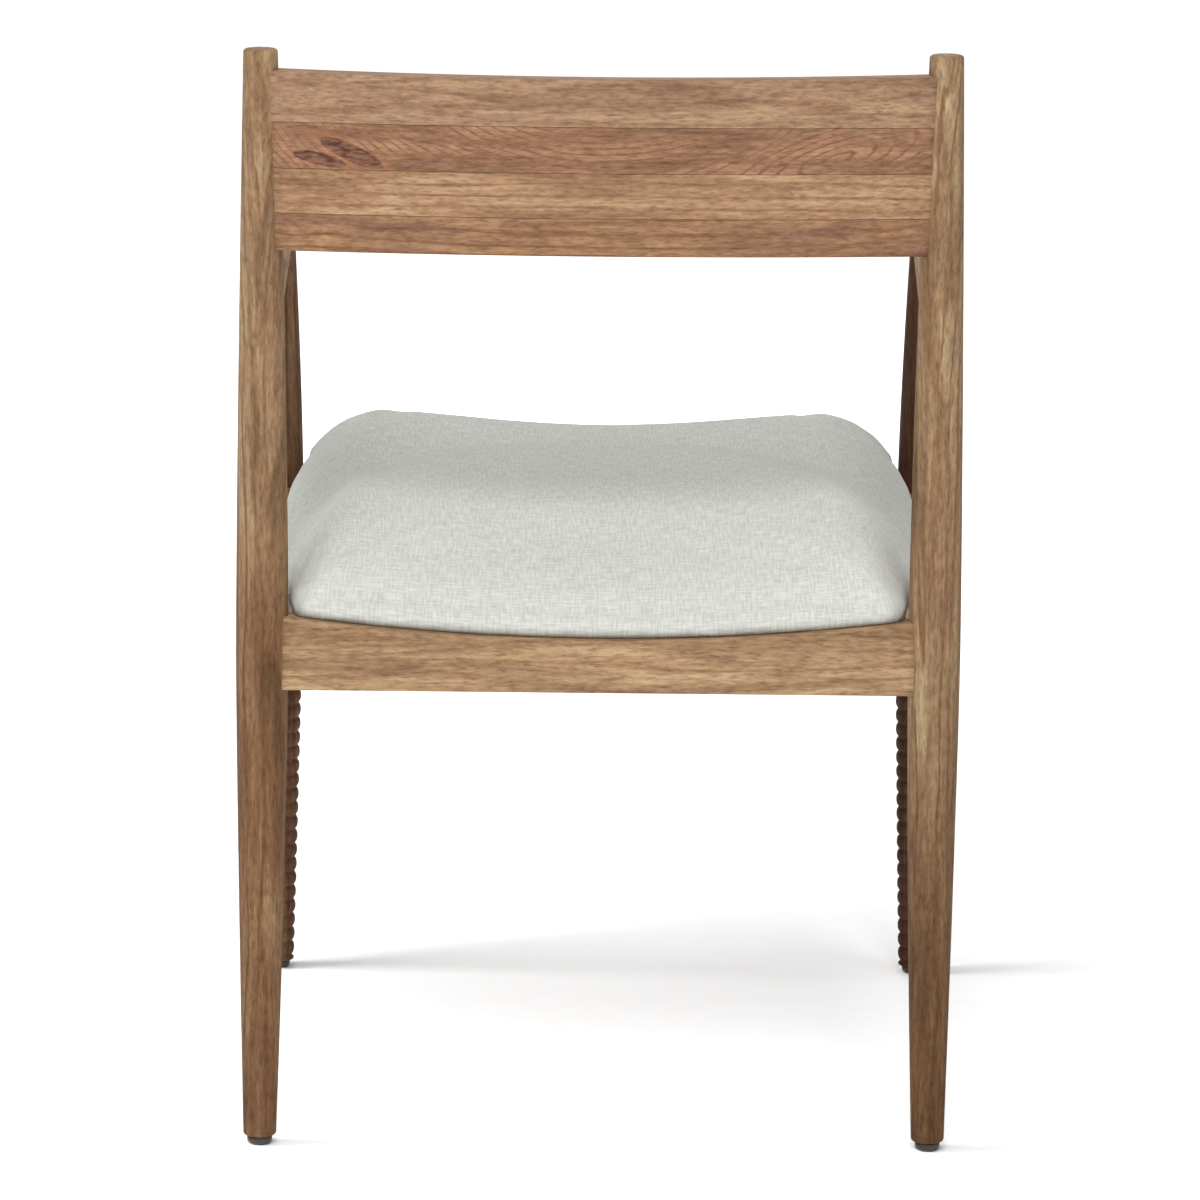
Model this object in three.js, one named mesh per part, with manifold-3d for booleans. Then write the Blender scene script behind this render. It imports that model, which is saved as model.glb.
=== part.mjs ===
// A wooden armchair: round posts, a bowed back slat, beaded front legs and an upholstered seat.
//
// Millimetres, +Z up. The chair faces -Y. Left and right are the sitter's, so left is +X.
// The floor is z = 0, and the origin is below the middle of the whole chair.
// Touching pieces keep a gap of JOINT_GAP, and a hole is wider than what fills it by the same gap.

import * as THREE from "three";
import { mergeVertices } from "three/addons/utils/BufferGeometryUtils.js";
import Module from "manifold-3d";

const wasm = await Module();
wasm.setup();

// ---------------------------------------------------------------- driving dimensions

const JOINT_GAP = 0.3;

// plan of the frame, measured between the posts' centres
const FOOT_DEPTH = 530;        // front feet to rear feet
const REAR_SPAN = 506.8;       // left rear foot to right rear foot
const REAR_LEAN = 2.5;         // how far each rear post's top stands inside its foot
const FRONT_SPAN = 530;        // left front leg to right front leg

// heights
const CHAIR_HEIGHT = 838;
const SEAT_RAIL_BOTTOM = 350.5;
const SEAT_RAIL_HEIGHT = 58.5; // at the ends, where the rails meet the posts
const SLAT_BOTTOM = 687;
const ARM_HEIGHT = 652;        // floor to the top of the armrest

// rear post: a bent round bar, thickest beside the seat
const POST_FOOT_DIAMETER = 25;
const POST_SEAT_DIAMETER = 39.4;
const POST_TOP_DIAMETER = 25.2;
const POST_LOWER_TAPER = 1.4;  // power of the taper below the seat
const POST_UPPER_TAPER = 1.6;  // power of the taper above the seat
const POST_FORWARD_BOW = 17;   // how far the post leans forward at the seat
const POST_TOP_SETBACK = 27;   // how far its top leans back behind its foot
const POST_EDGE_RADIUS = 2.5;

// front leg: beaded below the seat, smooth above
const LEG_FOOT_DIAMETER = 25.4;
const LEG_SEAT_DIAMETER = 42;
const LEG_TOP_DIAMETER = 26;
const BEAD_COUNT = 28;
const BEAD_GROOVE_DEPTH = 2.2;
const BEAD_RAIL_MARGIN = 5;    // smooth neck between the top bead and the seat rail
const BEAD_FOOT_MARGIN = 4;    // smooth neck below the lowest bead

// seat rails
const RAIL_THICKNESS = 22;
const RAIL_DIP = 18;           // hollow of the front and rear rails' top edges
const SIDE_RAIL_INSET = 6;     // side rails' middle inboard of the posts' middles
const TENON_THICKNESS = 9;
const TENON_SHOULDER = 8;      // rail left below its tenon, and above it at the hollow's lowest
const TENON_CLEARANCE = 6.5;   // end of a tenon or dowel to the middle of the post

// back slat
const STAVE_HEIGHTS = [28.9, 34, 34.7, 38.4]; // from the lowest stave up
const SLAT_THICKNESS = 20;
const SLAT_BOW = 18;           // how far the middle stands behind the ends
const SLAT_TOP_DIP = 2.6;      // hollow of the top edge
const SLAT_DOWEL_DIAMETER = 8;
const SLAT_DOWEL_LENGTH = 34;

// armrests
const ARM_THICKNESS = 24;
const ARM_REAR_WIDTH = 30;
const ARM_FRONT_WIDTH = 43;
const ARM_FRONT_SHIFT = 7;     // how far the armrest stands outside the front leg's middle
const ARM_OVERHANG = 26;       // front leg's middle to the armrest's front end
const ARM_SQUARENESS = 3.2;    // power of the rounded section, 2 being an ellipse
const ARM_DOWEL_DIAMETER = 10;
const ARM_DOWEL_LENGTH = 36;

// seat pad
const SEAT_SIDE_BULGE = 15;    // how far the sides swell out over the side rails
const SEAT_POST_GAP = 1.2;     // cover to the posts and legs that its corners pass
const SEAT_FRONT_REACH = 19;   // seat's front edge ahead of the front legs' middles
const SEAT_REAR_INSET = 3;     // seat's rear edge inside the rear rail's outer face
const SEAT_CORNER_RADIUS = 14;
const SEAT_SIDE_HEIGHT = 20;   // upright part of the pad's edge
const SEAT_PAD_HEIGHT = 86;    // board, foam and cover together, away from the edge
const SEAT_ROLL = 85;          // how far in from the edge the top rolls over
const SEAT_ROLL_POWER = 1.8;
const BOARD_THICKNESS = 12;
const COVER_THICKNESS = 1.2;
const COVER_MARGIN = 32;       // width of the cover turned under the board
const DUST_COVER_THICKNESS = 0.8;

// corner blocks and fasteners
const BLOCK_LEG = 62;          // block's length along each rail
const BLOCK_SEAT_GAP = 0.5;    // top of the block to the lowest part of the dish
const BLOCK_RAIL_STEP = 2;     // block's underside above the rails' undersides
const BLOCK_TRIM = 9;          // sharp tips cut off the block
const SEAT_SCREW_INSET = 25;   // seat screw from both rails
const SEAT_SCREW_DIAMETER = 4.5;
const SEAT_SCREW_BITE = 8;     // how far the seat screw goes into the board
const BLOCK_SCREW_INSET = 39;  // block screw along the rail from the corner
const BLOCK_SCREW_DIAMETER = 4;
const BLOCK_SCREW_BITE = 14;   // how far the block screw goes into the rail
const SCREW_HEAD_RATIO = 1.9;  // head's diameter to the shank's
const SCREW_HEAD_HEIGHT = 2.6;
const SCREW_TIP_LENGTH = 4;

// glides
const GLIDE_DIAMETER = 19;
const GLIDE_FLAT_DIAMETER = 12;
const GLIDE_HEIGHT = 6.5;
const NAIL_DIAMETER = 3;
const NAIL_LENGTH = 24;
const NAIL_HEAD_DIAMETER = 8;
const NAIL_HEAD_HEIGHT = 1.5;

// ---------------------------------------------------------------- derived sizes and places

const REAR_Y = FOOT_DEPTH / 2;
const FRONT_Y = -FOOT_DEPTH / 2;
const LEG_BOTTOM = GLIDE_HEIGHT + JOINT_GAP;
const RAIL_TOP = SEAT_RAIL_BOTTOM + SEAT_RAIL_HEIGHT;
const RAIL_MIDDLE = SEAT_RAIL_BOTTOM + SEAT_RAIL_HEIGHT / 2;
const DISH_LOW = RAIL_TOP - RAIL_DIP;
const ARM_UNDERSIDE = ARM_HEIGHT - ARM_THICKNESS;
const ARM_MIDDLE = ARM_HEIGHT - ARM_THICKNESS / 2;
const SLAT_TOP = SLAT_BOTTOM + STAVE_HEIGHTS.reduce((sum, height) => sum + height, 0);
const SIDES = [["left", 1], ["right", -1]];

const lerp = THREE.MathUtils.lerp;

// half the distance between the rear posts' centres at a height
function rearHalfSpan(z) {
  return REAR_SPAN / 2 - (REAR_LEAN * z) / CHAIR_HEIGHT;
}

// y of the rear posts' centre line: a parabola through the foot, the seat and the top
function rearPostY(z) {
  const seat = RAIL_MIDDLE;
  const curve = (-POST_TOP_SETBACK / CHAIR_HEIGHT - POST_FORWARD_BOW / seat) / (CHAIR_HEIGHT - seat);
  const slope = POST_FORWARD_BOW / seat - curve * seat;
  return REAR_Y - (slope * z + curve * z * z);
}

// radius of a round post that is thickest at the seat rails and tapers to both ends
function taperedRadius(z, foot, seat, top, topHeight) {
  const below = z < RAIL_MIDDLE;
  const reach = below ? RAIL_MIDDLE - LEG_BOTTOM : topHeight - RAIL_MIDDLE;
  const share = Math.min(Math.abs(z - RAIL_MIDDLE) / reach, 1);
  const end = below ? foot : top;
  const power = below ? POST_LOWER_TAPER : POST_UPPER_TAPER;
  return (seat - (seat - end) * share ** power) / 2;
}

function rearPostRadius(z) {
  return taperedRadius(z, POST_FOOT_DIAMETER, POST_SEAT_DIAMETER, POST_TOP_DIAMETER, CHAIR_HEIGHT);
}

function frontLegRadius(z) {
  return taperedRadius(z, LEG_FOOT_DIAMETER, LEG_SEAT_DIAMETER, LEG_TOP_DIAMETER, ARM_UNDERSIDE);
}

// height of the hollow that the rails' tops and the whole seat pad follow
function dishHeight(x) {
  return DISH_LOW + RAIL_DIP * (x / rearHalfSpan(RAIL_TOP)) ** 2;
}

// ---------------------------------------------------------------- solids

// a closed three.js geometry as a solid that can be joined and cut
function solid(geometry) {
  const bare = geometry.clone();
  bare.deleteAttribute("normal");
  bare.deleteAttribute("uv");
  const merged = mergeVertices(bare, 1e-4);
  return new wasm.Manifold(new wasm.Mesh({
    numProp: 3,
    vertProperties: new Float32Array(merged.attributes.position.array),
    triVerts: new Uint32Array(merged.index.array),
  }));
}

// a solid back as a three.js geometry
function geometryOf(body) {
  const mesh = body.getMesh();
  const geometry = new THREE.BufferGeometry();
  geometry.setAttribute("position", new THREE.BufferAttribute(new Float32Array(mesh.vertProperties), 3));
  geometry.setIndex(new THREE.BufferAttribute(new Uint32Array(mesh.triVerts), 1));
  return geometry;
}

function cut(body, tools) {
  return tools.reduce((rest, tool) => rest.subtract(tool), body);
}

// a closed body through rings of points, each ring with the same number of points
function ringBody(rings) {
  const count = rings[0].length;
  const positions = rings.flat().flatMap((point) => point.toArray());
  const centreOf = (ring) => ring.reduce((sum, p) => sum.add(p), new THREE.Vector3()).divideScalar(count);
  positions.push(...centreOf(rings[0]).toArray(), ...centreOf(rings[rings.length - 1]).toArray());
  const first = rings.length * count;
  const last = first + 1;
  const base = (rings.length - 1) * count;
  const index = [];
  for (let j = 0; j < count; j += 1) {
    const k = (j + 1) % count;
    for (let i = 0; i + 1 < rings.length; i += 1) {
      const a = i * count;
      const b = a + count;
      index.push(a + j, a + k, b + k, a + j, b + k, b + j);
    }
    index.push(first, k, j, last, base + j, base + k);
  }
  const geometry = new THREE.BufferGeometry();
  geometry.setAttribute("position", new THREE.Float32BufferAttribute(positions, 3));
  geometry.setIndex(index);
  return geometry;
}

// a level ring of points around a centre, anticlockwise from above
function circleRing(x, y, z, radius, count) {
  return Array.from({ length: count }, (_, j) => {
    const angle = (2 * Math.PI * j) / count;
    return new THREE.Vector3(x + radius * Math.cos(angle), y + radius * Math.sin(angle), z);
  });
}

// a turned shape along +Z from [radius, z] points, lowest first
function turned(points, count) {
  return ringBody(points.map(([radius, z]) => circleRing(0, 0, z, radius, count)));
}

// the same turned shape, standing on `start` and pointing along `direction`
function turnedAlong(points, count, start, direction) {
  const geometry = turned(points, count);
  const turn = new THREE.Quaternion().setFromUnitVectors(new THREE.Vector3(0, 0, 1), direction);
  geometry.applyQuaternion(turn);
  geometry.translate(start.x, start.y, start.z);
  return geometry;
}

// ---------------------------------------------------------------- posts and legs

const ROUND_SIDES = 16;        // posts, legs and glides
const DOWEL_SIDES = 8;
const POST_STATIONS = 10;

// the rear post, or with `grow` the clearance shape that is cut out of what meets it
function rearPost(side, grow = 0) {
  const edge = POST_EDGE_RADIUS;
  const low = LEG_BOTTOM - grow;
  const high = CHAIR_HEIGHT + grow;
  const heights = [];
  for (let i = 0; i <= POST_STATIONS; i += 1) {
    heights.push(lerp(low + edge, high - edge, i / POST_STATIONS));
  }
  const section = (z, shrink) => circleRing(
    side * rearHalfSpan(z), rearPostY(z), z, rearPostRadius(z) + grow - shrink, ROUND_SIDES);
  return ringBody([
    section(low, edge),
    section(low + edge * 0.3, edge * 0.3),
    ...heights.map((z) => section(z, 0)),
    section(high - edge * 0.3, edge * 0.3),
    section(high, edge),
  ]);
}

// the front leg's profile: beads from the foot to the seat rail, then a smooth taper to the armrest
function frontLegProfile(grow) {
  const edge = POST_EDGE_RADIUS;
  const beadsLow = LEG_BOTTOM + BEAD_FOOT_MARGIN;
  const pitch = (SEAT_RAIL_BOTTOM - BEAD_RAIL_MARGIN - beadsLow) / BEAD_COUNT;
  const points = [[frontLegRadius(LEG_BOTTOM) - edge + grow, LEG_BOTTOM - grow]];
  for (let i = 0; i < BEAD_COUNT; i += 1) {
    const z = beadsLow + i * pitch;
    points.push([frontLegRadius(z) - BEAD_GROOVE_DEPTH + grow, z]);
    points.push([frontLegRadius(z + pitch / 2) + grow, z + pitch / 2]);
  }
  const beadsHigh = beadsLow + BEAD_COUNT * pitch;
  points.push([frontLegRadius(beadsHigh) - BEAD_GROOVE_DEPTH + grow, beadsHigh]);
  const smooth = 6;
  for (let i = 0; i <= smooth; i += 1) {
    const z = lerp(beadsHigh + pitch / 4, ARM_UNDERSIDE - JOINT_GAP, i / smooth);
    points.push([frontLegRadius(z) + grow, z + (i === smooth ? grow : 0)]);
  }
  return points;
}

function frontLeg(side, grow = 0) {
  const geometry = turned(frontLegProfile(grow), ROUND_SIDES);
  geometry.translate((side * FRONT_SPAN) / 2, FRONT_Y, 0);
  return geometry;
}

// ---------------------------------------------------------------- rails

// a straight bar from one plan point to another
function railBar(start, end, bottom, top, thickness) {
  const along = new THREE.Vector2().subVectors(end, start).normalize();
  const across = new THREE.Vector2(-along.y, along.x).multiplyScalar(thickness / 2);
  return ringBody([start, end].map((middle) => {
    const inner = middle.clone().add(across);
    const outer = middle.clone().sub(across);
    return [
      new THREE.Vector3(inner.x, inner.y, bottom),
      new THREE.Vector3(inner.x, inner.y, top),
      new THREE.Vector3(outer.x, outer.y, top),
      new THREE.Vector3(outer.x, outer.y, bottom),
    ];
  }));
}

// everything between two heights above the dish, wider and deeper than the whole chair
function dishedBlock(low, high) {
  const reach = Math.max(FRONT_SPAN, REAR_SPAN, FOOT_DEPTH);
  const rings = [];
  for (let i = 0; i <= DISH_STATIONS; i += 1) {
    const x = lerp(reach, -reach, i / DISH_STATIONS) * DISH_BLOCK_SHARE;
    const corner = (y, height) => new THREE.Vector3(x, y, dishHeight(x) + height);
    rings.push([corner(-reach, low), corner(-reach, high), corner(reach, high), corner(reach, low)]);
  }
  return solid(ringBody(rings));
}

const DISH_STATIONS = 16;
const DISH_BLOCK_SHARE = 0.6;   // half of the block's width as a share of the chair's largest span

// where a tenon stops inside a post, on the line from the post's middle to the other end
function tenonEnd(middle, other) {
  const step = new THREE.Vector2().subVectors(other, middle).setLength(TENON_CLEARANCE);
  return middle.clone().add(step);
}

// a rail between two posts: shoulders scribed to the posts, and a tenon into each
function rail(start, end, neighbours) {
  const bar = solid(railBar(start, end, SEAT_RAIL_BOTTOM, RAIL_TOP, RAIL_THICKNESS));
  return cut(bar, [...neighbours, dishedBlock(0, RAIL_TOP)]).add(solid(tenonBar(start, end, 0)));
}

// both tenons of a rail as one long bar, or with `grow` the mortises cut for them
function tenonBar(start, end, grow) {
  const bottom = SEAT_RAIL_BOTTOM + TENON_SHOULDER - grow;
  const top = DISH_LOW - TENON_SHOULDER + grow;
  const reach = new THREE.Vector2().subVectors(end, start).setLength(grow);
  const from = tenonEnd(start, end).sub(reach);
  const to = tenonEnd(end, start).add(reach);
  return railBar(from, to, bottom, top, TENON_THICKNESS + 2 * grow);
}

function rearPostPlan(side) {
  return new THREE.Vector2(side * rearHalfSpan(RAIL_MIDDLE), rearPostY(RAIL_MIDDLE));
}

function frontLegPlan(side) {
  return new THREE.Vector2((side * FRONT_SPAN) / 2, FRONT_Y);
}

// a side rail's end, moved from its post's middle toward the seat
function shiftedInboard(point) {
  return new THREE.Vector2(point.x - Math.sign(point.x) * SIDE_RAIL_INSET, point.y);
}

// ---------------------------------------------------------------- back slat

const SLAT_STATIONS = 10;

// y of the slat's middle plane: it leans with the posts and bows to the rear
function slatY(x, z) {
  const share = x / rearHalfSpan(SLAT_BOTTOM);
  return rearPostY(z) + SLAT_BOW * (1 - share * share);
}

// one stave between two heights, running the full width before the posts are cut out of it
function stave(bottom, top, dip) {
  const half = rearHalfSpan(SLAT_BOTTOM);
  const rings = [];
  for (let i = 0; i <= SLAT_STATIONS; i += 1) {
    const x = lerp(half, -half, i / SLAT_STATIONS);
    const share = x / half;
    const high = top - dip * (1 - share * share);
    const corner = (z, offset) => new THREE.Vector3(x, slatY(x, z) + offset, z);
    rings.push([
      corner(bottom, -SLAT_THICKNESS / 2),
      corner(high, -SLAT_THICKNESS / 2),
      corner(high, SLAT_THICKNESS / 2),
      corner(bottom, SLAT_THICKNESS / 2),
    ]);
  }
  return ringBody(rings);
}

// ---------------------------------------------------------------- armrests

const ARM_SECTION_SIDES = 12;

// rings of a rounded bar from the rear post to a rounded nose ahead of the front leg
function armrest(side) {
  const rearY = rearPostY(ARM_MIDDLE);
  const noseY = FRONT_Y - ARM_OVERHANG;
  const nose = ARM_FRONT_WIDTH / 2;
  const shares = [0, 0.25, 0.5, 0.75];
  const noseShares = [0, 0.4, 0.7, 0.9, 1];
  const stations = shares.map((share) => [lerp(rearY, noseY + nose, share), 1]);
  for (const share of noseShares) {
    const full = Math.sqrt(Math.max(1 - share * share, 0.03));
    stations.push([noseY + nose * (1 - share), full]);
  }
  return ringBody(stations.map(([y, full]) => armRing(side, y, full, rearY)));
}

// one section of the armrest across Y: a rounded rectangle, `full` shrinking it toward the nose
function armRing(side, y, full, rearY) {
  const share = (rearY - y) / (rearY - FRONT_Y);
  const middle = lerp(rearHalfSpan(ARM_MIDDLE), FRONT_SPAN / 2 + ARM_FRONT_SHIFT, share);
  const halfWidth = (lerp(ARM_REAR_WIDTH, ARM_FRONT_WIDTH, Math.min(share, 1)) / 2) * full;
  const halfThickness = (ARM_THICKNESS / 2) * Math.min(full ** 0.5, 1);
  const lift = ARM_THICKNESS / 2 - halfThickness;
  return Array.from({ length: ARM_SECTION_SIDES }, (_, j) => {
    const angle = (2 * Math.PI * (j + 0.5)) / ARM_SECTION_SIDES;
    const round = (value) => Math.sign(value) * Math.abs(value) ** (2 / ARM_SQUARENESS);
    const x = side * middle + halfWidth * round(Math.cos(angle));
    const z = ARM_MIDDLE + lift / 2 + halfThickness * round(Math.sin(angle));
    return new THREE.Vector3(x, y, z);
  });
}

// ---------------------------------------------------------------- seat pad

const SEAT_FRONT_Y = FRONT_Y - SEAT_FRONT_REACH;
const SEAT_REAR_Y = rearPostY(RAIL_MIDDLE) + RAIL_THICKNESS / 2 - SEAT_REAR_INSET;
const SEAT_MIDDLE_Y = (SEAT_FRONT_Y + SEAT_REAR_Y) / 2;
const SEAT_REAR_HALF = rearHalfSpan(RAIL_TOP) - rearPostRadius(RAIL_TOP) - SEAT_POST_GAP;
const SEAT_FRONT_HALF = FRONT_SPAN / 2 - frontLegRadius(RAIL_TOP) - SEAT_POST_GAP;
const PAD_SIDES = 48;
const PAD_RINGS = [1, 0.96, 0.89, 0.8, 0.65, 0.35];

function seatHalfWidth(y) {
  const share = (y - SEAT_REAR_Y) / (SEAT_FRONT_Y - SEAT_REAR_Y);
  return lerp(SEAT_REAR_HALF, SEAT_FRONT_HALF, share) + SEAT_SIDE_BULGE * 4 * share * (1 - share);
}

// distance from a plan point to the seat's rounded outline, positive inside
function seatEdgeDistance(x, y, inset) {
  const corner = SEAT_CORNER_RADIUS;
  const overX = Math.abs(x) - (seatHalfWidth(y) - inset - corner);
  const overY = Math.abs(y - SEAT_MIDDLE_Y) - ((SEAT_REAR_Y - SEAT_FRONT_Y) / 2 - inset - corner);
  const outside = Math.hypot(Math.max(overX, 0), Math.max(overY, 0));
  return corner - outside - Math.min(Math.max(overX, overY), 0);
}

// the outline's points, found along rays from the seat's middle by halving
function seatOutline(inset) {
  return Array.from({ length: PAD_SIDES }, (_, j) => {
    const angle = (2 * Math.PI * (j + 0.5)) / PAD_SIDES;
    let near = 0;
    let far = 2 * SEAT_FRONT_HALF + SEAT_REAR_Y - SEAT_FRONT_Y;
    for (let step = 0; step < 40; step += 1) {
      const middle = (near + far) / 2;
      const inside = seatEdgeDistance(
        middle * Math.cos(angle), SEAT_MIDDLE_Y + middle * Math.sin(angle), inset) > 0;
      near = inside ? middle : near;
      far = inside ? far : middle;
    }
    return new THREE.Vector2(near * Math.cos(angle), near * Math.sin(angle));
  });
}

// height of the rolled top above the dish, from the distance to the edge
function rolledHeight(distance, side, full) {
  const share = Math.min(Math.max(distance, 0) / SEAT_ROLL, 1);
  return side + (full - side) * (1 - (1 - share) ** SEAT_ROLL_POWER) ** (1 / SEAT_ROLL_POWER);
}

// a rolled cushion, inset from the seat's outline, that starts a height above the dish
function rolledPad(inset, low, full) {
  const outline = seatOutline(inset);
  const rings = PAD_RINGS.map((scale) => outline.map((point) => {
    const x = point.x * scale;
    const y = SEAT_MIDDLE_Y + point.y * scale;
    const height = rolledHeight(seatEdgeDistance(x, y, inset), SEAT_SIDE_HEIGHT, full);
    return new THREE.Vector3(x, y, dishHeight(x) + height);
  }));
  const foot = rings[0].map((point) => new THREE.Vector3(point.x, point.y, 0));
  return solid(ringBody([foot, ...rings])).intersect(dishedBlock(low, CHAIR_HEIGHT));
}

// an even sheet between two heights above the dish, inset from the seat's outline
function dishedSheet(inset, low, high) {
  const outline = seatOutline(inset).map((point) => [point.x, point.y + SEAT_MIDDLE_Y]);
  const level = (z) => outline.map(([x, y]) => new THREE.Vector3(x, y, z));
  return solid(ringBody([level(0), level(CHAIR_HEIGHT)])).intersect(dishedBlock(low, high));
}

const COVER_LOW = JOINT_GAP;
const COVER_INSIDE = COVER_LOW + COVER_THICKNESS;
const BOARD_LOW = COVER_INSIDE + JOINT_GAP;
const FOAM_LOW = BOARD_LOW + BOARD_THICKNESS + JOINT_GAP;
const PAD_INSET = COVER_THICKNESS + JOINT_GAP;

// the posts and front legs, widened by the space that a seat layer keeps from them
function postSpaces(gap) {
  return SIDES.flatMap(([, side]) => [solid(rearPost(side, gap)), solid(frontLeg(side, gap))]);
}

// the fabric cover: a thin shell over the foam, turned under the board and open in the middle
function seatCover() {
  const fullInside = rolledPad(COVER_THICKNESS, COVER_INSIDE, SEAT_PAD_HEIGHT - COVER_THICKNESS);
  const inside = cut(fullInside, postSpaces(SEAT_POST_GAP + COVER_THICKNESS));
  const opening = dishedSheet(COVER_MARGIN, -COVER_MARGIN, FOAM_LOW);
  const outside = cut(rolledPad(0, COVER_LOW, SEAT_PAD_HEIGHT), postSpaces(SEAT_POST_GAP));
  return cut(outside, [inside, opening]);
}

function seatFoam() {
  const pad = rolledPad(PAD_INSET, FOAM_LOW, SEAT_PAD_HEIGHT - PAD_INSET);
  return cut(pad, postSpaces(SEAT_POST_GAP + PAD_INSET));
}

function seatBoard() {
  const board = dishedSheet(PAD_INSET, BOARD_LOW, BOARD_LOW + BOARD_THICKNESS);
  return cut(board, postSpaces(SEAT_POST_GAP + PAD_INSET));
}

function dustCover() {
  const high = BOARD_LOW - JOINT_GAP;
  return dishedSheet(COVER_MARGIN + JOINT_GAP, high - DUST_COVER_THICKNESS, high);
}

// ---------------------------------------------------------------- fasteners

// a wood screw from under its head to its tip, widened by `grow` for the hole it needs
function screwProfile(shank, length, grow = 0) {
  const radius = shank / 2 + grow;
  const head = (shank * SCREW_HEAD_RATIO) / 2 + grow;
  return [
    [head * 0.8, -SCREW_HEAD_HEIGHT - grow],
    [head, -SCREW_HEAD_HEIGHT * 0.6],
    [head, grow === 0 ? 0 : grow],
    [radius, grow === 0 ? 0 : grow + 0.01],
    [radius, length - SCREW_TIP_LENGTH + grow],
    [radius * 0.3, length + grow],
  ];
}

function nailProfile(grow = 0) {
  const radius = NAIL_DIAMETER / 2 + grow;
  const head = NAIL_HEAD_DIAMETER / 2 + grow;
  return [
    [head, -grow],
    [head, NAIL_HEAD_HEIGHT + grow],
    [radius, NAIL_HEAD_HEIGHT + grow + 0.01],
    [radius, NAIL_LENGTH - NAIL_DIAMETER + grow],
    [radius * 0.3, NAIL_LENGTH + grow],
  ];
}

// a dowel between two points, with small chamfered ends, or the hole for it
function dowel(start, end, diameter, grow = 0) {
  const direction = new THREE.Vector3().subVectors(end, start);
  const length = direction.length();
  const radius = diameter / 2 + grow;
  const chamfer = diameter * 0.1;
  const profile = [
    [radius - chamfer, -grow],
    [radius, chamfer - grow],
    [radius, length - chamfer + grow],
    [radius - chamfer, length + grow],
  ];
  return turnedAlong(profile, DOWEL_SIDES, start, direction.normalize());
}

// ---------------------------------------------------------------- the chair, piece by piece

const WOOD = { color: 0xa07c5a, roughness: 0.55, metalness: 0 };
const INNER_WOOD = { color: 0xb99a72, roughness: 0.7, metalness: 0 };
const PLYWOOD = { color: 0xc9ab7c, roughness: 0.7, metalness: 0 };
const LINEN = { color: 0xcbccc4, roughness: 0.95, metalness: 0 };
const FOAM = { color: 0xe6dcb4, roughness: 0.9, metalness: 0 };
const BLACK_CLOTH = { color: 0x2b2b2c, roughness: 0.95, metalness: 0 };
const STEEL = { color: 0x9a9b9d, roughness: 0.35, metalness: 1 };
const GLIDE_PLASTIC = { color: 0x3b3a39, roughness: 0.6, metalness: 0 };

const chair = new THREE.Group();
chair.name = "armchair";

function place(name, body, look) {
  const mesh = new THREE.Mesh(geometryOf(body), new THREE.MeshStandardMaterial(look));
  mesh.name = name;
  chair.add(mesh);
}

// every post's clearance shape, which is cut out of what meets it
const rearPostSpace = SIDES.map(([, side]) => solid(rearPost(side, JOINT_GAP)));
const frontLegSpace = SIDES.map(([, side]) => solid(frontLeg(side, JOINT_GAP)));

// rails: [name, start, end, what its body is cut to fit]
const crossRailPlans = [
  ["rear_rail", rearPostPlan(1), rearPostPlan(-1), rearPostSpace],
  ["front_rail", frontLegPlan(-1), frontLegPlan(1), frontLegSpace],
];
const railSpaceOf = ([, start, end]) => solid(railBar(
  start, end, SEAT_RAIL_BOTTOM - JOINT_GAP, RAIL_TOP + JOINT_GAP, RAIL_THICKNESS + 2 * JOINT_GAP));
const crossRailSpace = crossRailPlans.map(railSpaceOf);
const railPlans = [
  ...crossRailPlans,
  ...SIDES.map(([name, side], i) => [
    `side_rail_${name}`, shiftedInboard(frontLegPlan(side)), shiftedInboard(rearPostPlan(side)),
    [rearPostSpace[i], frontLegSpace[i], ...crossRailSpace],
  ]),
];
const railSpace = railPlans.map(railSpaceOf);
const mortises = railPlans.map(([, start, end]) => solid(tenonBar(start, end, JOINT_GAP)));

// dowels of one side: two in the slat's end, one on the front leg, one in the rear post
function sideDowels(side) {
  const dowels = [];
  for (const [place, stave] of [["lower", 1], ["upper", 2]]) {
    const below = STAVE_HEIGHTS.slice(0, stave).reduce((sum, height) => sum + height, 0);
    const z = SLAT_BOTTOM + below + STAVE_HEIGHTS[stave] / 2;
    const outer = side * (rearHalfSpan(z) - TENON_CLEARANCE);
    const inner = outer - side * SLAT_DOWEL_LENGTH;
    const start = new THREE.Vector3(outer, rearPostY(z), z);
    const end = new THREE.Vector3(inner, slatY(inner, z), z);
    dowels.push([`slat_dowel_${place}`, start, end, SLAT_DOWEL_DIAMETER]);
  }
  const legX = (side * FRONT_SPAN) / 2;
  const armTip = ARM_UNDERSIDE + ARM_THICKNESS * 0.6;
  dowels.push(["arm_dowel_front", new THREE.Vector3(legX, FRONT_Y, armTip - ARM_DOWEL_LENGTH),
    new THREE.Vector3(legX, FRONT_Y, armTip), ARM_DOWEL_DIAMETER]);
  const postX = side * rearHalfSpan(ARM_MIDDLE);
  const postY = rearPostY(ARM_MIDDLE) - TENON_CLEARANCE;
  dowels.push(["arm_dowel_rear", new THREE.Vector3(postX, postY, ARM_MIDDLE),
    new THREE.Vector3(postX, postY - ARM_DOWEL_LENGTH, ARM_MIDDLE), ARM_DOWEL_DIAMETER]);
  return dowels;
}

const dowels = SIDES.flatMap(([name, side]) => sideDowels(side).map(
  ([label, start, end, diameter]) => [`${label}_${name}`, start, end, diameter]));
const dowelHoles = dowels.map(([, start, end, diameter]) => solid(dowel(start, end, diameter, JOINT_GAP)));

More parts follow.
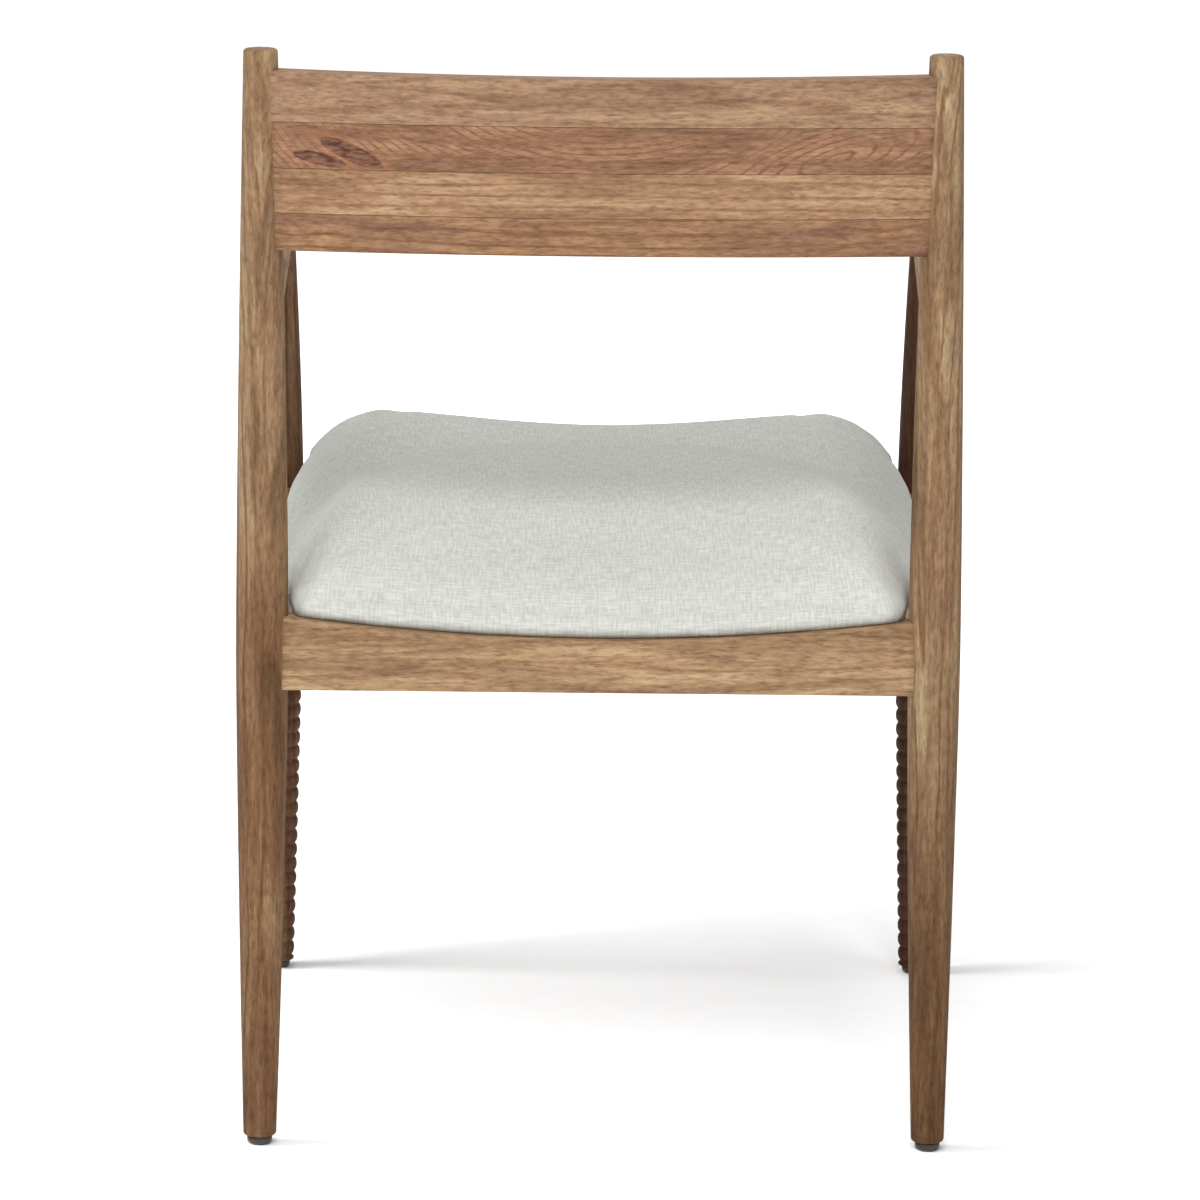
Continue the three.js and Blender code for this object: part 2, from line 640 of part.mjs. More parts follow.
// one corner of the seat frame: where the rails' inner faces meet, and the directions along them
function cornerFrame(side, atRear) {
  const post = shiftedInboard(atRear ? rearPostPlan(side) : frontLegPlan(side));
  const other = shiftedInboard(atRear ? frontLegPlan(side) : rearPostPlan(side));
  const cross = new THREE.Vector2(-side, 0);
  const along = new THREE.Vector2().subVectors(other, post).normalize();
  const inset = RAIL_THICKNESS / 2;
  const corner = post.clone().addScaledVector(cross, inset).addScaledVector(along, inset);
  return { corner, cross, along };
}

// a point in a corner's own plan directions
function inCorner({ corner, cross, along }, acrossSeat, alongSide) {
  return corner.clone().addScaledVector(cross, acrossSeat).addScaledVector(along, alongSide);
}

// a corner block: a triangle with its tips cut off, standing between the rails
function cornerBlock(frame) {
  const outline = [
    inCorner(frame, 0, 0),
    inCorner(frame, BLOCK_LEG - BLOCK_TRIM, 0),
    inCorner(frame, BLOCK_LEG - BLOCK_TRIM, BLOCK_TRIM),
    inCorner(frame, BLOCK_TRIM, BLOCK_LEG - BLOCK_TRIM),
    inCorner(frame, 0, BLOCK_LEG - BLOCK_TRIM),
  ];
  const block = new THREE.ExtrudeGeometry(new THREE.Shape(outline), { depth: BLOCK_HEIGHT, bevelEnabled: false });
  block.translate(0, 0, BLOCK_LOW);
  return solid(block);
}

const BLOCK_LOW = SEAT_RAIL_BOTTOM + BLOCK_RAIL_STEP;
const BLOCK_HEIGHT = DISH_LOW - BLOCK_SEAT_GAP - BLOCK_LOW;
const SCREW_SIDES = 8;
const CORNERS = [
  ["rear_left", 1, true], ["rear_right", -1, true], ["front_left", 1, false], ["front_right", -1, false],
];

// the three screws of a corner: one up into the seat board, one sideways into each rail
function cornerScrews(frame) {
  const seatPoint = inCorner(frame, SEAT_SCREW_INSET, SEAT_SCREW_INSET);
  const tip = dishHeight(seatPoint.x) + BOARD_LOW + SEAT_SCREW_BITE;
  const hypotenuse = BLOCK_LEG - BLOCK_SCREW_INSET - SCREW_HEAD_HEIGHT;
  const length = hypotenuse + JOINT_GAP + BLOCK_SCREW_BITE;
  const across = frame.cross;
  const along = frame.along;
  const sideStart = inCorner(frame, hypotenuse, BLOCK_SCREW_INSET);
  const crossStart = inCorner(frame, BLOCK_SCREW_INSET, hypotenuse);
  const low = BLOCK_LOW + BLOCK_HEIGHT * 0.3;
  const high = BLOCK_LOW + BLOCK_HEIGHT * 0.7;
  return [
    ["seat_screw", new THREE.Vector3(seatPoint.x, seatPoint.y, BLOCK_LOW),
      new THREE.Vector3(0, 0, 1), SEAT_SCREW_DIAMETER, tip - BLOCK_LOW],
    ["side_block_screw", new THREE.Vector3(sideStart.x, sideStart.y, low),
      new THREE.Vector3(-across.x, -across.y, 0), BLOCK_SCREW_DIAMETER, length],
    ["cross_block_screw", new THREE.Vector3(crossStart.x, crossStart.y, high),
      new THREE.Vector3(-along.x, -along.y, 0), BLOCK_SCREW_DIAMETER, length],
  ];
}

const corners = CORNERS.map(([name, side, atRear]) => {
  const frame = cornerFrame(side, atRear);
  return { name, frame, screws: cornerScrews(frame) };
});
const screws = corners.flatMap(({ name, screws: set }) => set.map(
  ([label, start, direction, diameter, length]) => ({ name: `${label}_${name}`, start, direction, diameter, length })));
const screwBody = ({ start, direction, diameter, length }, grow) =>
  solid(turnedAlong(screwProfile(diameter, length, grow), SCREW_SIDES, start, direction));
const screwHoles = screws.map((screw) => screwBody(screw, JOINT_GAP));

// a block screw's head lies in a pocket that opens to the block's slanted face
const headPockets = screws.filter(({ name }) => name.includes("block")).map((screw) => {
  const radius = (screw.diameter * SCREW_HEAD_RATIO) / 2 + 2 * JOINT_GAP;
  const depth = BLOCK_LEG / 2;
  return solid(turnedAlong([[radius, -depth], [radius, JOINT_GAP]], SCREW_SIDES, screw.start, screw.direction));
});

// glides and their nails, one under each leg
const feet = SIDES.flatMap(([name, side]) => [
  [`rear_${name}`, side * rearHalfSpan(LEG_BOTTOM), rearPostY(LEG_BOTTOM)],
  [`front_${name}`, (side * FRONT_SPAN) / 2, FRONT_Y],
]);
const nailBase = GLIDE_HEIGHT - NAIL_HEAD_HEIGHT * 2;
const nailAt = (x, y, grow) => solid(turned(nailProfile(grow), DOWEL_SIDES).translate(x, y, nailBase));
const nailHoles = feet.map(([, x, y]) => nailAt(x, y, JOINT_GAP));

function glide(x, y) {
  const radius = GLIDE_DIAMETER / 2;
  const profile = [
    [GLIDE_FLAT_DIAMETER / 2, 0],
    [lerp(GLIDE_FLAT_DIAMETER / 2, radius, 0.7), GLIDE_HEIGHT * 0.2],
    [radius, GLIDE_HEIGHT * 0.55],
    [radius, GLIDE_HEIGHT],
  ];
  return solid(turned(profile, ROUND_SIDES).translate(x, y, 0));
}

// posts and legs, with their mortises and holes
SIDES.forEach(([name, side]) => {
  const fittings = [...mortises, ...dowelHoles, ...nailHoles];
  place(`rear_leg_${name}`, cut(solid(rearPost(side)), fittings), WOOD);
  place(`front_leg_${name}`, cut(solid(frontLeg(side)), fittings), WOOD);
});

// rails
for (const [name, start, end, neighbours] of railPlans) {
  place(name, cut(rail(start, end, neighbours), screwHoles), WOOD);
}

// the slat's four staves, glued edge to edge
let staveLow = SLAT_BOTTOM;
STAVE_HEIGHTS.forEach((height, i) => {
  const isTop = i === STAVE_HEIGHTS.length - 1;
  const body = solid(stave(staveLow, staveLow + height - (isTop ? 0 : JOINT_GAP), isTop ? SLAT_TOP_DIP : 0));
  place(`back_slat_stave_${i + 1}`, cut(body, [...rearPostSpace, ...dowelHoles]), WOOD);
  staveLow += height;
});

// armrests, scribed to the rear posts
SIDES.forEach(([name, side]) => {
  place(`armrest_${name}`, cut(solid(armrest(side)), [...rearPostSpace, ...dowelHoles]), WOOD);
});

for (const [name, start, end, diameter] of dowels) {
  place(name, solid(dowel(start, end, diameter)), INNER_WOOD);
}

// corner blocks and every screw
for (const { name, frame } of corners) {
  const tools = [...railSpace, ...rearPostSpace, ...frontLegSpace, ...screwHoles, ...headPockets];
  place(`corner_block_${name}`, cut(cornerBlock(frame), tools), INNER_WOOD);
}
for (const screw of screws) {
  place(screw.name, screwBody(screw, 0), STEEL);
}

// seat pad
place("seat_board", cut(seatBoard(), screwHoles), PLYWOOD);
place("seat_foam", seatFoam(), FOAM);
place("seat_cover", cut(seatCover(), screwHoles), LINEN);
place("seat_dust_cover", cut(dustCover(), screwHoles), BLACK_CLOTH);

// feet
for (const [name, x, y] of feet) {
  place(`glide_${name}`, cut(glide(x, y), nailHoles), GLIDE_PLASTIC);
  place(`glide_nail_${name}`, nailAt(x, y, 0), STEEL);
}

// centre the chair over the origin in plan
const bounds = new THREE.Box3().setFromObject(chair);
chair.position.y = -(bounds.min.y + bounds.max.y) / 2;

export default chair;
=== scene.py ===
# %% [markdown]
# # A wooden armchair
#
# A dining armchair of oiled mango wood. Two bent round posts carry a slat glued up from four
# staves. Two beaded legs carry the armrests. Between them lies a dished seat in pale linen.
#
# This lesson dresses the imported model. It loads the rigid frame first, since every size and
# place comes from there. Then it makes a finer surface for each part that shows.

# %% Load the frame
import bpy
import math
import numpy as np
from mathutils import Matrix, Vector


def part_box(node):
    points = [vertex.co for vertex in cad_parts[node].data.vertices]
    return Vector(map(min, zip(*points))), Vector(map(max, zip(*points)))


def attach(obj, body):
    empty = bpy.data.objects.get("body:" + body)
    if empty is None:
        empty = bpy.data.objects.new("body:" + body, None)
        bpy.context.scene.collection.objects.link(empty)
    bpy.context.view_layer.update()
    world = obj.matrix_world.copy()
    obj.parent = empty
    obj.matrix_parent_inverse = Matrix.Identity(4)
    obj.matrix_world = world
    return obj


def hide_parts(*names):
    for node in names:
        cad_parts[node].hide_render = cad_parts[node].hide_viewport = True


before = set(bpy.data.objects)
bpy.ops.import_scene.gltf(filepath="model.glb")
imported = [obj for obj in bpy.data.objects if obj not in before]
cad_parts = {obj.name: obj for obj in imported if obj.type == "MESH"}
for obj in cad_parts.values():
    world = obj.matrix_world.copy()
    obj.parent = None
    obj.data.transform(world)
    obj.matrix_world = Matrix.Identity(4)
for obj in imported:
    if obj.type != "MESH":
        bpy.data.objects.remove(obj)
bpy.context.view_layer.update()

MM = 0.001
SIDES = {"left": 1, "right": -1}

# %% [markdown]
# ## Camera
#
# The chair is seen from behind, from a little above the top of the back. A long lens from five
# metres away keeps the two posts almost parallel. The camera is made first, so that every later
# step can be looked at straight away.

# %% Camera
camera_data = bpy.data.cameras.new("camera")
camera_data.sensor_width = 36
camera_data.lens = 204.95
camera_data.clip_end = 100
camera = bpy.data.objects.new("camera", camera_data)
bpy.context.scene.collection.objects.link(camera)
bpy.context.scene.camera = camera

HEADING = math.radians(180.061)
PITCH = math.radians(11.597)
ROLL = math.radians(0.55)
turn = Matrix.Rotation(HEADING, 4, "Z")
tilt = Matrix.Rotation(math.pi / 2 - PITCH, 4, "X")
roll = Matrix.Rotation(ROLL, 4, "Z")
camera.matrix_world = Matrix.Translation((-0.0064, 5.2498, 1.4491)) @ turn @ tilt @ roll
print("camera at", tuple(round(v, 3) for v in camera.matrix_world.translation))

# %% [markdown]
# ## Helpers for materials
#
# A screen colour such as #9a7a5e is stored with a curve. Light adds up only on a straight scale,
# so one function undoes the curve. Another adds a node, fills in its settings and joins its
# inputs, which keeps each material readable from top to bottom.


# %% Colour and node helpers
SMOOTH = {"interpolation_type": "SMOOTHSTEP"}
MIX = {"data_type": "RGBA"}
TINT = {"data_type": "RGBA", "blend_type": "MULTIPLY"}


def linear(hex_colour):
    """Each channel c of an sRGB colour becomes ((c + 0.055) / 1.055) ** 2.4, or c / 12.92 if dark."""
    channels = np.array([int(hex_colour[i:i + 2], 16) for i in (1, 3, 5)]) / 255
    straight = np.where(channels > 0.04045, ((channels + 0.055) / 1.055) ** 2.4, channels / 12.92)
    return (*straight, 1.0)


def feed(tree, node, settings, links):
    """A key of settings is an input's name or number, or else a property. Properties come first."""
    for key, value in settings.items():
        if isinstance(key, str) and hasattr(node, key):
            setattr(node, key, value)
    for key, value in settings.items():
        if not (isinstance(key, str) and hasattr(node, key)):
            node.inputs[key].default_value = value
    for key, socket in links.items():
        tree.links.new(socket, node.inputs[key])


def add(tree, kind, settings=None, links=None, output=0):
    """Adds one node and gives back one of its outputs."""
    node = tree.nodes.new("ShaderNode" + kind)
    feed(tree, node, settings or {}, links or {})
    return node.outputs[output]


def ramp(tree, value, stops):
    """Turns a value into a colour by stops of (place, hex colour)."""
    node = tree.nodes.new("ShaderNodeValToRGB")
    tree.links.new(value, node.inputs["Fac"])
    elements = node.color_ramp.elements
    while len(elements) < len(stops):
        elements.new(0.5)
    for element, (place, hex_colour) in zip(elements, stops):
        element.position = place
        element.color = linear(hex_colour)
    return node.outputs["Color"]


def new_material(name):
    """An empty node material, with the shader and the output already joined."""
    material = bpy.data.materials.new(name)
    material.use_nodes = True
    tree = material.node_tree
    shader = tree.nodes["Principled BSDF"]
    return material, tree, shader


print("oiled brown in straight numbers:", [round(c, 3) for c in linear("#9a7a5e")])

# %% [markdown]
# ## Studio
#
# A white floor runs out to the horizon and reads as one even white. It glows a little, as a
# table of milk glass lit from below does, and more so far away, where the lamps don't reach. The
# glow washes out all shadows but those at the feet.
# A weak light comes from all round, as in a white tent. A large lamp high behind the chair lights
# its back, and weaker ones stand at both sides, above the seat and in front. One more lamp stands
# low at the chair's left and is linked to the floor alone. It throws a short soft shadow from
# each foot to the other side and leaves the chair as it is.

# %% Floor
material, tree, shader = new_material("matt_white_studio_floor")
place = add(tree, "TexCoord", output="Object")
speckle = add(tree, "TexNoise", {"Scale": 40.0, "Detail": 3.0}, {"Vector": place})
floor_colour = ramp(tree, speckle, [(0.3, "#f6f6f6"), (0.7, "#f9f9f9")])
away = add(tree, "VectorMath", {"operation": "LENGTH"}, {0: place}, output="Value")
glow = add(tree, "MapRange",
           {**SMOOTH, "From Min": 0.7, "From Max": 3.0, "To Min": 0.02, "To Max": 0.78}, {"Value": away})
feed(tree, shader, {"Roughness": 0.9, "Specular IOR Level": 0.0},
     {"Base Color": floor_colour, "Emission Color": floor_colour, "Emission Strength": glow})

FLOOR_REACH = 40
floor_mesh = bpy.data.meshes.new("studio_floor")
corners = [(-1, -1), (1, -1), (1, 1), (-1, 1)]
floor_mesh.from_pydata([(FLOOR_REACH * x, FLOOR_REACH * y, 0) for x, y in corners], [], [(0, 1, 2, 3)])
floor_mesh.materials.append(material)
floor = bpy.data.objects.new("studio_floor", floor_mesh)
bpy.context.scene.collection.objects.link(floor)

# %% Light
world = bpy.data.worlds.new("white_tent")
bpy.context.scene.world = world
world.use_nodes = True
feed(world.node_tree, world.node_tree.nodes["Background"], {"Color": (1, 1, 1, 1), "Strength": 0.28}, {})


def softbox(name, place, target, size, power):
    """A square area lamp at a place, facing a target."""
    lamp = bpy.data.lights.new(name, "AREA")
    lamp.size = size
    lamp.energy = power
    lamp_object = bpy.data.objects.new(name, lamp)
    direction = Vector(target) - Vector(place)
    lamp_object.location = place
    lamp_object.rotation_euler = direction.to_track_quat("-Z", "Y").to_euler()
    bpy.context.scene.collection.objects.link(lamp_object)
    return lamp_object


softbox("key_softbox", (2.5, 2.4, 1.6), (0, 0, 0.6), 1.6, 17)
softbox("fill_softbox", (-2.8, 2.2, 1.8), (0, 0, 0.6), 1.6, 19)
softbox("rear_softbox", (0.0, 3.0, 3.2), (0, 0, 0.6), 1.8, 106)
softbox("top_softbox", (0.3, 0.3, 3.2), (0, 0, 0.4), 2.4, 40)
softbox("front_softbox", (0.4, -3.4, 2.4), (0, 0, 0.4), 2.0, 30)
floor_lamp = softbox("floor_softbox", (3.0, 0.3, 1.2), (0, 0, 0), 1.5, 150)
floor_only = bpy.data.collections.new("lit_by_floor_softbox")
floor_only.objects.link(floor)
floor_lamp.light_linking.receiver_collection = floor_only
bpy.context.scene.view_settings.view_transform = "Standard"

# %% [markdown]
# ## Sizes taken from the frame
#
# The rear post is one bent bar. Seen from the side its middle line is a parabola through the
# foot, the seat and the top. Its radius is largest at the seat rails and shrinks to both ends
# by a power of the distance. The same three formulas place the slat and the armrests.

# %% Post line and radii
glide_low, glide_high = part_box("glide_rear_left")
rear_low, rear_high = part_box("rear_leg_left")
front_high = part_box("front_leg_left")[1]
rail_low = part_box("rear_rail")[0]
front_glide_low, front_glide_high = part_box("glide_front_left")

FOOT_X = (glide_low.x + glide_high.x) / 2
FOOT_Y = (glide_low.y + glide_high.y) / 2
FRONT_X = (front_glide_low.x + front_glide_high.x) / 2
FRONT_Y = (front_glide_low.y + front_glide_high.y) / 2
LEG_BOTTOM = rear_low.z
CHAIR_TOP = rear_high.z
ARM_UNDERSIDE = front_high.z
RAIL_BOTTOM = rail_low.z
RAIL_TOP = RAIL_BOTTOM + 58.5 * MM  # where the rails meet the posts
SEAT_Z = (RAIL_BOTTOM + RAIL_TOP) / 2

POST_LEAN_IN = 2.5 * MM
POST_BOW = 17 * MM
POST_SETBACK = 27 * MM
POST_ACROSS = (25 * MM, 39.4 * MM, 25.2 * MM)  # diameter at the foot, the seat and the top
LEG_ACROSS = (25.4 * MM, 42 * MM, 26 * MM)
POST_CURVE = (-POST_SETBACK / CHAIR_TOP - POST_BOW / SEAT_Z) / (CHAIR_TOP - SEAT_Z)
POST_SLOPE = POST_BOW / SEAT_Z - POST_CURVE * SEAT_Z


def post_x(z):
    """Half the distance between the posts' middles: the foot's, less a lean that grows with z."""
    return FOOT_X - POST_LEAN_IN * z / CHAIR_TOP


def post_y(z):
    """The middle line's y: foot minus (slope times z plus curve times z squared)."""
    return FOOT_Y - (POST_SLOPE * z + POST_CURVE * z * z)


def tapered(z, foot, seat, top, top_z):
    """Radius: the seat's, less a share of the loss that grows as distance ** 1.4 or ** 1.6."""
    below = z < SEAT_Z
    reach = np.where(below, SEAT_Z - LEG_BOTTOM, top_z - SEAT_Z)
    share = np.clip(np.abs(z - SEAT_Z) / reach, 0, 1)
    loss = np.where(below, (seat - foot) * share ** 1.4, (seat - top) * share ** 1.6)
    return (seat - loss) / 2


def post_radius(z):
    """The rear posts' radius, tapered to the foot and to the top."""
    return tapered(z, *POST_ACROSS, CHAIR_TOP)


def leg_radius(z):
    """The front legs' radius, tapered to the foot and to the armrest."""
    return tapered(z, *LEG_ACROSS, ARM_UNDERSIDE)


print("rear foot", round(FOOT_X, 4), round(FOOT_Y, 4), "front foot", round(FRONT_X, 4), round(FRONT_Y, 4))
print("radius at the seat, mm:", round(float(post_radius(SEAT_Z)) / MM, 2))

# %% [markdown]
# ## From rings of points to a closed piece
#
# Every wooden part here is a stack of closed rings, one ring per station along the grain. Quads
# join each ring to the next, and a fan of triangles closes each end onto one pole. Points run
# anticlockwise seen from the end that the rings climb to, so that every face points outwards.


# %% Closed piece from rings
def ring_faces(stations, count):
    """Quads between neighbouring rings, then a fan onto a pole at each end."""
    station, around = np.meshgrid(np.arange(stations - 1), np.arange(count), indexing="ij")
    following = (around + 1) % count
    quads = np.stack([station * count + around, station * count + following,
                      (station + 1) * count + following, (station + 1) * count + around], axis=-1)
    j = np.arange(count)
    k = (j + 1) % count
    first_pole = np.full(count, stations * count)
    first_fan = np.stack([first_pole, k, j], axis=-1)
    base = (stations - 1) * count
    last_fan = np.stack([first_pole + 1, base + j, base + k], axis=-1)
    return quads.reshape(-1, 4).tolist() + first_fan.tolist() + last_fan.tolist()


def closed_piece(name, rings, material, nodes):
    """Turns rings, an array of stations by points by 3, into a piece that stands for CAD nodes."""
    stations, count = rings.shape[:2]
    poles = np.stack([rings[0].mean(axis=0), rings[-1].mean(axis=0)])
    vertices = np.concatenate([rings.reshape(-1, 3), poles])
    mesh = bpy.data.meshes.new(name)
    mesh.from_pydata(vertices.tolist(), [], ring_faces(stations, count))
    mesh.polygons.foreach_set("use_smooth", np.ones(len(mesh.polygons), bool))
    mesh.materials.append(material)
    mesh.update()
    piece = bpy.data.objects.new(name, mesh)
    bpy.context.scene.collection.objects.link(piece)
    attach(piece, "root")
    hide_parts(*nodes)
    print(name, "faces:", len(mesh.polygons))
    return piece


def round_rings(x, y, z, radius, count):
    """Level circles: x + r cos a, y + r sin a, z, for each height's middle and radius."""
    angle = 2 * np.pi * np.arange(count) / count
    ring_x = x[:, None] + radius[:, None] * np.cos(angle)
    ring_y = y[:, None] + radius[:, None] * np.sin(angle)
    ring_z = np.repeat(z[:, None], count, axis=1)
    return np.stack([ring_x, ring_y, ring_z], axis=-1)


# %% [markdown]
# ## Oiled mango wood
#
# Mango is a hardwood from fruit orchards, golden to pinkish brown with grey and dark streaks,
# short open pores, and a grain that often swirls round knots. Here it is sanded and oiled, so the
# pores stay open and the shine is low. The posts and front legs also get painted shade: their colour
# is darkened towards one end or one side, where less light falls; on the posts this is partly the
# wood's own darker tone as well.
#
# A tree is a bundle of rings round its pith. So the material measures the distance to a pith
# line, bends it with noise, and draws a darker late-wood line at each ring. Noise that is
# stretched along the grain gives the patches of colour, the fine streaks and the pores.

# %% Growth rings
def growth_rings(tree, place, along, grain, pith, rings, lean, warp, bowl):
    """0 to 1 across each ring, 1 at the late wood. The distance to the pith, in ring spacings, plus
    noise, is folded between 0 and a half."""
    ring_scale = [rings[1]] * 3
    ring_scale[grain] = rings[0]
    from_pith = add(tree, "Mapping", {"vector_type": "TEXTURE", "Location": pith,
                                      "Rotation": (0, lean, 0), "Scale": ring_scale},
                    {"Vector": place})
    distance = add(tree, "VectorMath", {"operation": "LENGTH"}, {0: from_pith}, output="Value")
    if bowl:
        bowl_x, bowl_z, bowl_spacing, bowl_offset = bowl
        from_centre = add(tree, "Mapping", {"vector_type": "TEXTURE", "Location": (bowl_x, pith[1], bowl_z),
                                            "Scale": (bowl_spacing,) * 3}, {"Vector": place})
        round_distance = add(tree, "VectorMath", {"operation": "LENGTH"}, {0: from_centre},
                             output="Value")
        shifted = add(tree, "Math", {"operation": "SUBTRACT", 1: bowl_offset}, {0: round_distance})
        distance = add(tree, "Math", {"operation": "SMOOTH_MIN", 2: 1.5}, {0: distance, 1: shifted})
    bend = add(tree, "TexNoise", {"Scale": 34.0, "Detail": 3.0, "Roughness": 0.55}, {"Vector": along})
    bent = add(tree, "Math", {"operation": "MULTIPLY_ADD", 1: 2 * warp}, {0: bend, 2: distance})
    fold = add(tree, "Math", {"operation": "PINGPONG", 1: 0.5}, {0: bent})
    return add(tree, "MapRange", {**SMOOTH, "From Min": 0.3, "From Max": 0.5}, {"Value": fold})


# %% [markdown]
# A knot is the root of a branch. It shows as a dark ellipse of tight wood with an orange halo. Its
# edge is the line where the distance from the middle, plus a little noise, passes a limit.

# %% Knots
def with_knots(tree, place, colour, streaks, flecks, knots):
    """Lays each knot over a colour: halo first, then the dark heart."""
    for x, z, half_length, half_width, angle in knots:
        ellipse = add(tree, "Mapping", {"vector_type": "TEXTURE", "Location": (x, 0, z),
                                        "Rotation": (0, -math.radians(angle), 0),
                                        "Scale": (half_length, 10.0, half_width)},
                      {"Vector": place})
        away = add(tree, "VectorMath", {"operation": "LENGTH"}, {0: ellipse}, output="Value")
        ragged = add(tree, "Math", {"operation": "MULTIPLY_ADD", 1: 0.3}, {0: streaks, 2: away})
        inside = add(tree, "MapRange", {**SMOOTH, "From Min": 1.2, "From Max": 1.08}, {"Value": ragged})
        halo = add(tree, "MapRange", {**SMOOTH, "From Min": 1.7, "From Max": 1.15, "To Max": 0.25},
                   {"Value": ragged})
        heart = ramp(tree, flecks, [(0.38, "#452c22"), (0.6, "#714f3f")])
        colour = add(tree, "Mix", {**MIX, 7: linear("#9a6540")}, {0: halo, 6: colour}, output=2)
        colour = add(tree, "Mix", MIX, {0: inside, 6: colour, 7: heart}, output=2)
    return colour


# %% [markdown]
# The wood itself is built up in layers, each one tinting the layer before: four tones in patches,
# fine streaks, late wood, short flecks, pores, and last the knots.

# %% Wood material
GRAIN_STRETCH = 9
PATCH_WIDTH = 20 * MM
STREAK_WIDTH = 2.4 * MM
FLECK_WIDTH = 2.6 * MM
PORE_WIDTH = 1.1 * MM  # a real pore is 0.3 mm wide, drawn wider so that it shows at all


def oiled_mango(name, grain, tones, pith, rings, shift, figure=0.5, warp=1.6, lean=0.0, bowl=None,
                knots=(), shade=None):
    """Wood along the axis `grain` (0 x, 1 y, 2 z). `rings` is (length, spacing) of the growth rings
    round `pith`, in metres. `bowl` is (x, z, spacing, offset) of rounder rings about a second
    centre, and the nearer set of rings wins. `tones` are four colours from dark to light. `knots`
    are (x, z, half length, half width, angle in degrees) on a face across y. `shade` is (colour,
    axis, from, to): between two places on an axis the wood darkens to its colour times this one."""
    material, tree, shader = new_material(name)
    place = add(tree, "TexCoord", output="Object")
    stretched = []
    for stretch in (GRAIN_STRETCH, 2.2 * GRAIN_STRETCH, 3.5):
        squeeze = [1.0, 1.0, 1.0]
        squeeze[grain] = 1 / stretch
        stretched.append(add(tree, "Mapping",
                             {"Location": shift, "Rotation": (0, lean, 0), "Scale": squeeze},
                             {"Vector": place}))
    along, fine, short = stretched
    late = growth_rings(tree, place, along, grain, pith, rings, lean, warp, bowl)

    # patches of colour along the grain, and the four tones they choose from
    patches = add(tree, "TexNoise",
                  {"Scale": 1 / PATCH_WIDTH, "Detail": 5.0, "Roughness": 0.62, "Distortion": 0.6},
                  {"Vector": along})
    tone = ramp(tree, patches, list(zip((0.33, 0.46, 0.56, 0.69), tones)))

    # fine streaks lighten and darken, and late wood darkens a little, more in some patches
    streaks = add(tree, "TexNoise", {"Scale": 1 / STREAK_WIDTH, "Detail": 4.0, "Roughness": 0.7},
                  {"Vector": fine})
    streaked = ramp(tree, streaks, [(0.3, "#c9c2bd"), (0.5, "#e6e3e1"), (0.7, "#ffffff")])
    colour = add(tree, "Mix", {**TINT, 0: 0.8}, {6: tone, 7: streaked}, output=2)
    uneven = add(tree, "MapRange", {"From Min": 0.38, "From Max": 0.62, "To Max": 2 * figure},
                 {"Value": patches})
    late_share = add(tree, "Math", {"operation": "MULTIPLY"}, {0: late, 1: uneven})
    colour = add(tree, "Mix", {**TINT, 7: linear("#c6ab9b")}, {0: late_share, 6: colour}, output=2)

    # short flecks of figure mottle the wood between the patches and the streaks
    flecks = add(tree, "TexNoise", {"Scale": 1 / FLECK_WIDTH, "Detail": 3.0, "Roughness": 0.6},
                 {"Vector": short})
    mottle = ramp(tree, flecks, [(0.34, "#c8bfb9"), (0.5, "#eae8e6"), (0.66, "#ffffff")])
    colour = add(tree, "Mix", {**TINT, 0: 0.75}, {6: colour, 7: mottle}, output=2)

    # open pores: short dark dashes
    dashes = add(tree, "TexNoise", {"Scale": 1 / PORE_WIDTH, "Detail": 1.0, "Roughness": 0.5},
                 {"Vector": along})
    pores = add(tree, "MapRange", {**SMOOTH, "From Min": 0.58, "From Max": 0.7}, {"Value": dashes})
    pore_share = add(tree, "Math", {"operation": "MULTIPLY", 1: 0.4}, {0: pores})
    colour = add(tree, "Mix", {**MIX, 7: linear("#4b3223")}, {0: pore_share, 6: colour}, output=2)
    colour = with_knots(tree, place, colour, streaks, flecks, knots)

    # painted shade: between two places on an axis the colour is darkened, standing in for less light there
    if shade:
        shade_colour, shade_axis, shade_from, shade_to = shade
        along_axis = add(tree, "SeparateXYZ", links={"Vector": place}, output=shade_axis)
        darkened = add(tree, "MapRange", {**SMOOTH, "From Min": shade_from, "From Max": shade_to},
                       {"Value": along_axis})
        colour = add(tree, "Mix", {**TINT, 7: linear(shade_colour)}, {0: darkened, 6: colour}, output=2)

    # oil leaves a low, uneven shine, and the pores stay dull
    dull = add(tree, "MapRange", {"To Min": 0.6, "To Max": 0.78}, {"Value": streaks})
    depth = add(tree, "Math", {"operation": "SUBTRACT"}, {0: streaks, 1: pores})
    bump = add(tree, "Bump", {"Strength": 0.35, "Distance": 0.25 * MM}, {"Height": depth})
    feed(tree, shader, {"IOR": 1.5, "Specular IOR Level": 0.12},
         {"Base Color": colour, "Roughness": dull, "Normal": bump})
    return material


POST_TONES = ("#725a41", "#8d7155", "#9b8163", "#ab9877")
LONG = 4.0  # metres: rings this long run straight along a piece
# painted shade on the posts: the left one is darker from the seat rail down and the right one towards its
# foot, partly standing for less light there and partly the wood's own darker tone
wood_post_left = oiled_mango("oiled_mango_left_post", 2, POST_TONES, (0.2, 0.3, 0.4),
                             (LONG, 9 * MM), (1.3, 2.1, 0.4), shade=("#dccec4", "Z", 0.5, 0.39))
wood_post_right = oiled_mango("oiled_mango_right_post", 2, POST_TONES, (-0.2, 0.31, 0.4),
                              (LONG, 10 * MM), (4.7, 0.6, 2.9), shade=("#bba999", "Z", 0.42, 0.06))
print("wood tones:", POST_TONES)

# %% [markdown]
# ## Rear posts
#
# Each post is turned from one bent bar. A turner leaves the ends flat and takes the sharp edge
# off with a small radius, so the rings near each end draw in along a quarter circle.

# %% Rear posts
ROUND_COUNT = 64
END_RADIUS = 2.5 * MM


